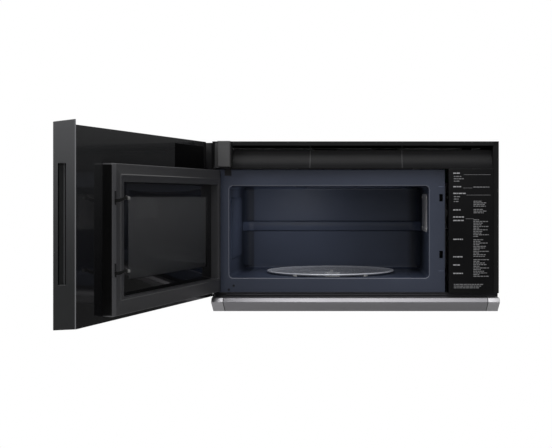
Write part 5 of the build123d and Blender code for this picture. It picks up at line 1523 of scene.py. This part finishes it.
# %% [markdown]
# ## Latch
#
# One moulded bar stands upright in the choke frame and carries two hooks, which
# reach through its slots into the oven. Each hook leaves the bar low, sweeps up
# in a curve and ends in a nose; its outline is rounded at every corner and
# carried through its 3.6 mm of thickness. A paler shoe over the nose is a painted glint.

# %% Latch bar and hooks
latch_low, latch_high = door_box("door_latch")
TIP_V = latch_high[1]
HOOK_CROWN = LATCH_SLOT[1] / 2 - 4.6
HOOK_HALF, SHOE_HALF = 1.8, 2.1
BAR_V = (RIDGE_V - 16, RIDGE_V - 7)
BAR_FOOT, BAR_HEAD = LATCH_HEIGHTS[1] - 11, LATCH_HEIGHTS[0] + 11
ROOT_V = BAR_V[0] + 2


def hook_outline(height):
    """(v, z) outline of one hook, from its root over the nose and back along the upper curve."""
    lower = [(ROOT_V, height - 9.3), (RIDGE_V + 9, height - 8.9), (TIP_V - 9, height - 2.6),
             (TIP_V - 6.5, height - 4.6), (TIP_V, height + 0.5), (TIP_V - 9, height + HOOK_CROWN)]
    upper = arc_through(lower[-1], (RIDGE_V + 8, height - 1.5), (ROOT_V, height + 1), 12)
    return np.vstack([round_corners(lower, (0, 4.0, 0.8, 1.2, 1.6, 0), 5), upper[1:]])


def shoe_outline(height):
    """(v, z) outline of the shoe over a hook's nose."""
    return round_corners([(TIP_V - 4.5, height - 3.6), (TIP_V - 0.2, height - 3.6),
                          (TIP_V - 0.2, height + 1.6), (TIP_V - 3.4, height + 3.0),
                          (TIP_V - 4.8, height + 2.4)], 1.1, 4)


def standing_plate(shape, outline, u0, u1, edge=0.5):
    """A (v, z) outline carried from u0 to u1 with both rims rounded off by edge."""
    inward = unit(outline.mean(axis=0) - outline)
    steps = ((0.0, 1.0), (0.3, 0.3), (1.0, 0.0))
    rings = [(u0 + edge * depth, edge * shrink) for depth, shrink in steps]
    rings += [(u1 - edge * depth, edge * shrink) for depth, shrink in steps[::-1]]
    shape.loft([layer(outline + inward * shrink, 0, u) for u, shrink in rings])


latch, shoes = Shape(door_space), Shape(door_space)
upright = round_corners([(BAR_V[0], BAR_FOOT), (BAR_V[1], BAR_FOOT),
                         (BAR_V[1], BAR_HEAD), (BAR_V[0], BAR_HEAD)], 2.0, 4)
standing_plate(latch, upright, latch_low[0], latch_high[0], 0.3)
for height in LATCH_HEIGHTS:
    standing_plate(latch, hook_outline(height), LATCH_U - HOOK_HALF, LATCH_U + HOOK_HALF)
    standing_plate(shoes, shoe_outline(height), LATCH_U - SHOE_HALF, LATCH_U + SHOE_HALF)
latch.make("latch_bar_and_hooks", hook_plastic, "latch", replaces=["door_latch"])
# painted highlight: the pale shoes stand for the glint on each hook's nose
shoes.make("hook_shoes", shoe_glint_plastic, "latch", slot="grey_plastic")
print("hooks reach", round(TIP_V, 1))

# %% [markdown]
# ## Filters and lenses under the oven
#
# A cook sees these from below: two framed filters of layered aluminium mesh with
# a pull tab, and two lamp lenses with fine ribs that spread the light over the
# range. A frame is a closed ring of loops; a ribbed lens is an outline whose
# lower side is a row of half waves, carried from front to back.

# %% Grease filters
FILTER_BORDER = 8.0
FILTER_CORNER = 3.0
FILTER_SOFT = 0.7
TAB_DROP = 4.0
MESH_WAVE, MESH_PITCH = 1.1, 6.4


def flat_frame(shape, low, high):
    """A square-edged ring: outer wall, top, inner wall and underside, each a rounded loop."""
    def loop(inset, z):
        return layer(rectangle_loop(low[0] + inset, high[0] - inset, low[1] + inset, high[1] - inset,
                                    max(FILTER_CORNER - inset, 0.8), 5), 2, z)
    shape.grid([loop(FILTER_SOFT, low[2]), loop(0.0, low[2] + FILTER_SOFT), loop(0.0, high[2] - FILTER_SOFT),
                loop(FILTER_SOFT, high[2]), loop(FILTER_BORDER, high[2]), loop(FILTER_BORDER, low[2])],
               close_rows=True, close_columns=True)


def woven_sheet(low, high, z):
    """z + wave * sin(kx) * sin(ky), the hills and dips of one layer of stretched mesh."""
    across, along = (np.linspace(low[k], high[k], int((high[k] - low[k]) / MESH_PITCH * 4)) for k in (0, 1))
    x, y = np.meshgrid(across, along, indexing="ij")
    k = 2 * math.pi / MESH_PITCH
    return np.stack([x, y, z + MESH_WAVE * np.sin(k * x) * np.sin(k * y)], axis=-1)


for side in ("left", "right"):
    node = f"grease_filter_{side}"
    low, high = cabinet_box(node)
    sheet_low = low + (0, 0, TAB_DROP)
    x, y, _ = (low + high) / 2
    body = Shape()
    flat_frame(body, sheet_low, high)
    body.slab((low[0] + 6, y - 4, sheet_low[2] + 0.2), (high[0] - 6, y + 4, high[2] - 0.2), 0.8, 0.4, axis=2)
    body.slab((x - 9, low[1] + 2, low[2]), (x + 9, low[1] + 6, sheet_low[2] + 1.0), 0.9, 0.5)
    body.make(f"filter_frame_{side}", filter_frame, f"filter_{side}", replaces=[node])
    layers = Shape().grid(woven_sheet(low + FILTER_BORDER - 1, high - FILTER_BORDER + 1, sheet_low[2] + 3.2))
    layer_piece = layers.make(f"filter_mesh_{side}", filter_mesh, f"filter_{side}", slot="mesh",
                              seen_from=(x, y, low[2] - 500.0))
    walled(layer_piece, 0.6)
print("filter", (high - low).round(1))

# %% Ribbed lamp lenses
LENS_RIBS = 22
LENS_SPAN = 95.0
LENS_LIP = 2.0
LENS_FLANGE = 0.6
lens_low, lens_high = cabinet_box("lamp_lenses")
lenses = Shape()
for left in (lens_low[0], lens_high[0] - LENS_SPAN):
    right, top = left + LENS_SPAN, lens_high[2]
    x = np.linspace(left + LENS_LIP, right - LENS_LIP, LENS_RIBS * 8 + 1)
    wave = 0.75 * (1 - np.abs(np.sin(math.pi * LENS_RIBS * (x - x[0]) / (x[-1] - x[0]))))
    outline = np.vstack([np.column_stack([x, lens_low[2] + wave]),
                         [(right - LENS_LIP, top - LENS_FLANGE), (right, top - LENS_FLANGE), (right, top),
                          (left, top), (left, top - LENS_FLANGE), (left + LENS_LIP, top - LENS_FLANGE)]])
    lenses.loft([layer(outline, 1, y) for y in (lens_low[1] + LENS_LIP, lens_high[1] - LENS_LIP)])
lenses.make("ribbed_lamp_lenses", lamp_glass, "cabinet", replaces=["lamp_lenses"])
print("lens ribs", LENS_RIBS)

# %% [markdown]
# ## Screw heads
#
# Pan heads are turned, so each is a profile turned round its axis, a low dome
# with a rounded rim. The cross is pressed into it: two bars are cut out, first
# all that lie one way and then all that lie the other.

# %% Screws with cross recesses
FRONT_SCREWS = ((-325.0, -158.2), (-338.0, -168.6))
ROOF_SCREWS = [(x, y) for x in (-133.0, 133.0) for y in (-280.0, -220.0)]
HEAD = np.array([(0.0, 0.0), (1.0, 0.0), (1.0, 0.35), (0.93, 0.62), (0.75, 0.85), (0.4, 0.97), (0.0, 1.0)])
SCREW_TOP = cabinet_box("cabinet_screws")[1][2]
ROOF_RADIUS, ROOF_HEAD = 3.2, 1.6
FRONT_RADIUS, FRONT_HEAD = 3.0, 0.8
CROSS = ((1.9, 0.35), (0.35, 1.9))


def sinker(low, high):
    """A closed bar that presses one stroke of the cross, its corners just broken."""
    stroke = rectangle_loop(low[0], high[0], low[1], high[1], 0.01, 1)
    return Shape().loft([layer(stroke, 2, z) for z in (low[2], high[2])])


screws = Shape()
for x, z in FRONT_SCREWS:
    head = turned(HEAD * (FRONT_RADIUS, FRONT_HEAD), (x, FACE_Y, z), 28, (0, -1, 0))
    screws.grid(head, close_columns=True)
for x, y in ROOF_SCREWS:
    head = turned(HEAD * (ROOF_RADIUS, ROOF_HEAD), (x, y, SCREW_TOP - ROOF_HEAD), 28)
    screws.grid(head, close_columns=True)
screw_piece = screws.make("pan_head_screws", screw_steel, "cabinet", replaces=["cabinet_screws"])
for a, b in CROSS:
    for x, y in ROOF_SCREWS:
        cut_away(screw_piece, sinker((x - a, y - b, SCREW_TOP - 0.9), (x + a, y + b, SCREW_TOP + 1)))
    for x, z in FRONT_SCREWS:
        cut_away(screw_piece, sinker((x - a, FACE_Y - 2, z - b), (x + a, FACE_Y - 0.35, z + b)))
screw_piece.data.set_sharp_from_angle(angle=math.radians(SMOOTH_ANGLE))
print("screws", len(FRONT_SCREWS) + len(ROOF_SCREWS))

# %% [markdown]
# ## Touch marks on the door's outer glass
#
# The controls of such an oven are touch fields behind the lower edge of the
# door's glass. Their print is kept generic: the ten digits, ON and OFF, rings
# for two more fields and a dark clock window. Letters come from Blender's own
# font and are turned into a mesh that lies a few hundredths before the glass.

# %% Touch print
GLASS_V = door_box("door_glass")[0][1]
MARK_V = GLASS_V - 0.06
LINER_V = -0.5
TOUCH_Z = -150.0
RING_LINE = 0.6
SWITCH_PLACES = (512.0, 540.0)


def glass_text(shape, label, u, z, size):
    """Adds the outline of a word to shape, standing on the glass."""
    curve = bpy.data.curves.new("touch_word", "FONT")
    curve.body = label
    curve.size = size
    curve.align_x = "CENTER"
    curve.align_y = "CENTER"
    holder = linked("touch_word", curve)
    mesh = evaluated_mesh(holder)
    points = layer(corners_of(mesh)[:, :2] + (u, z), 1, MARK_V)
    shape.add(points, [[index + shape.count for index in face.vertices] for face in mesh.polygons])
    bpy.data.objects.remove(holder)
    bpy.data.meshes.remove(mesh)
    bpy.data.curves.remove(curve)


touch = Shape(door_space)
TOUCH_LABELS = [(str(digit % 10), 301.0 + 17.0 * digit, 9.0) for digit in range(1, 11)]
TOUCH_LABELS += [(label, u, 6.5) for label, u in zip(("ON", "OFF"), SWITCH_PLACES)]
for label, u, size in TOUCH_LABELS:
    glass_text(touch, label, u, TOUCH_Z, size)
for u in SWITCH_PLACES:
    touch.grid([ring_at(((u - 11, TOUCH_Z - 8), (u + 11, TOUCH_Z + 8)), -inset, 7.9 - inset, MARK_V)
                for inset in (0.0, RING_LINE)], close_columns=True)
touch.make("touch_marks", guide_ink, "door", slot="grey_plastic",
           seen_from=(425.0, GLASS_V - 500.0, TOUCH_Z))
clock = Shape(door_space).slab((196.0, MARK_V, TOUCH_Z - 13), (286.0, GLASS_V + 0.4, TOUCH_Z + 13), 2.0, 0.03)
clock.make("clock_window", clock_glass, "door", slot="gloss_black")
# painted shade: a matt black sheet on the liner by the upper hinge stands for the shade of the pocket there
patch = Shape(door_space).slab((69.0, LINER_V - 0.4, 151.5), (252.0, LINER_V + 0.12, 209.0), 3.0, 0.05)
patch.make("liner_painted_notch_shade", notch_shade_black, "door", slot="black_plastic")
print("touch labels", len(TOUCH_LABELS))

# %% [markdown]
# ## Plain mouldings and sheets kept from the model
#
# Many pieces are already the right shape in the CAD model, but their edges are
# razor sharp, and a real edge always catches a line of light. For those the
# solid is copied, its flat faces are joined, and a bevel rounds the edges. What
# stays as the model drew it gets its finish by the record's material slot, so a
# new node can never be left grey.

# %% Softened pieces
SOFTENED = (
    ("cabinet_wrap", 0.45, wrap_paint), ("exhaust_cover", 0.5, wrap_paint),
    ("hinge_cover", 0.7, cover_plastic), ("end_cap", 0.8, cap_plastic),
    ("door_liner", 0.5, liner_gloss), ("door_glass", 0.6, outer_pane),
    ("door_core", 0.4, core_plastic), ("base_pan", 0.4, pan_paint), ("front_sill", 0.35, sill_steel),
    ("cord_gland", 0.5, soft_black), ("latch_holder", 0.4, core_plastic),
    ("hinge_bracket_upper", 0.4, dark_steel), ("hinge_bracket_lower", 0.4, dark_steel),
    ("hinge_leaf_upper", 0.3, dark_steel), ("hinge_leaf_lower", 0.3, dark_steel),
)
for node, edge, finish in SOFTENED:
    soft_copy(node, edge, finish)
print("softened", len(SOFTENED))

# %% Finish by slot
FINISH_OF_SLOT = {
    "black_paint": wrap_paint, "enamel": enamel, "galvanised": zinc_sheet, "steel": trim_steel,
    "bright_steel": pin_steel, "dark_steel": dark_steel, "black_plastic": core_plastic,
    "grey_plastic": cover_plastic, "white_plastic": white_plastic, "gloss_black": liner_gloss,
    "outer_glass": outer_pane, "window": window_pane, "clear_glass": tray_glass,
    "frosted": lamp_glass, "mica": mica, "board": board_green, "can": bare_aluminium,
    "mesh": filter_mesh, "charcoal": charcoal, "iron": iron,
}
FINISH_OF_NODE = {"switch_plunger_upper": soft_black, "switch_plunger_lower": soft_black,
                  "door_switches": soft_black, "wall_plate": plate_zinc}
for name, node in nodes.items():
    node.data.materials.clear()
    node.data.materials.append(FINISH_OF_NODE.get(name, FINISH_OF_SLOT[slot_of[name]]))
print("finished", len(nodes), "nodes")

# %% [markdown]
# ## Floor, lamps and the white surround
#
# The oven hangs on a wall, so the pale floor lies well below it. Two soft boxes
# and two weaker fills light it: a wide one above the front, one at the upper
# left, a fill beside the camera and one from the right. The oven's own little
# lamp hangs in the cavity. The world is dim for light, but white to the camera,
# through glass, and to mirrors that look upwards. Level mirrors see a dim
# studio, as if black flags stood round the oven.

# %% Floor
FLOOR_HEIGHT = -1000.0
floor_finish = Finish("pale_floor", (0.80, 0.80, 0.80))
mottle = floor_finish.blend(floor_finish.noise(3.0, 4.0), (0.79, 0.79, 0.79), (0.81, 0.81, 0.81))
floor_mesh = bpy.data.meshes.new("studio_floor")
floor_corners = [(-3200.0, -3300.0), (3200.0, -3300.0), (3200.0, 1150.0), (-3200.0, 1150.0)]
floor_mesh.from_pydata(cabinet_space(layer(floor_corners, 2, FLOOR_HEIGHT)).tolist(), [], [[0, 1, 2, 3]])
floor_mesh.materials.append(floor_finish.done(mottle, 0.6))
floor_piece = linked("studio_floor", floor_mesh)
floor_piece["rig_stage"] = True
print("floor at", FLOOR_HEIGHT)

# %% Lamps
def soft_lamp(name, place, target, size, watts):
    """A square area lamp at place that looks at target, both in millimetres."""
    lamp = bpy.data.lights.new(name, "AREA")
    lamp.shape = "RECTANGLE"
    lamp.size, lamp.size_y = size[0] * MM, size[1] * MM
    lamp.energy = watts
    holder = linked(name, lamp)
    holder.location = cabinet_space(place)
    view = Vector(cabinet_space(target)) - holder.location
    holder.rotation_euler = view.to_track_quat("-Z", "Y").to_euler()
    return holder


soft_lamp("top_front_softbox", (-300.0, -1700.0, 2000.0), (0.0, -350.0, 0.0), (2200.0, 1200.0), 34.0)
soft_lamp("upper_left_softbox", (-1500.0, -1900.0, 1150.0), (-450.0, -900.0, 250.0), (900.0, 700.0), 12.0)
front_fill = soft_lamp("front_fill", (200.0, -3500.0, 500.0), (0.0, -400.0, 0.0), (2200.0, 1400.0), 22.0)
front_fill.visible_glossy = False
soft_lamp("right_fill", (2300.0, -1900.0, 300.0), (100.0, -400.0, 0.0), (1200.0, 1600.0), 6.0)
cavity_lamp = soft_lamp("cavity_lamp", (-170.0, -230.0, 70.0), (-265.0, -70.0, -120.0), (160.0, 120.0), 0.31)
cavity_lamp.visible_camera = False
cavity_lamp.visible_glossy = False

# %% World
AMBIENT = 0.30
world = bpy.data.worlds.new("white_surround")
bpy.context.scene.world = world
world.use_nodes = True
tree = world.node_tree
tree.nodes.clear()
rays = tree.nodes.new("ShaderNodeLightPath")
seen, mirrored, through = (Number(tree, rays.outputs[f"Is {kind} Ray"])
                           for kind in ("Camera", "Glossy", "Transmission"))
direction = tree.nodes.new("ShaderNodeTexCoord")
parts = tree.nodes.new("ShaderNodeSeparateXYZ")
tree.links.new(direction.outputs["Generated"], parts.inputs[0])
above_lamps = Number(tree, parts.outputs[2]).above(0.30, 0.5)
mirror_white = mirrored * (0.85 * above_lamps - 0.30 * (1 - above_lamps))
white_share = (seen + mirror_white + through).math("MINIMUM", 1.0)
background = tree.nodes.new("ShaderNodeBackground")
background.inputs["Color"].default_value = (1.0, 1.0, 1.0, 1.0)
tree.links.new((AMBIENT + (1 - AMBIENT) * white_share).socket, background.inputs["Strength"])
output = tree.nodes.new("ShaderNodeOutputWorld")
tree.links.new(background.outputs[0], output.inputs["Surface"])
bpy.context.scene.view_settings.view_transform = "Standard"
print("world ready")

# %% [markdown]
# ## The size of the dressed oven
#
# The box of the dressed oven and that of its CAD model are printed, and both
# are given together as the script's last value.

# %% Finish
visual_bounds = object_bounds()


def plain(value):
    """Nested lists of numbers from vectors or arrays."""
    return [plain(part) for part in value] if hasattr(value, "__len__") else float(value)


{"cad": plain(cad_bounds), "visual": plain(visual_bounds)}
print("cad", plain(cad_bounds))
print("visual", plain(visual_bounds))
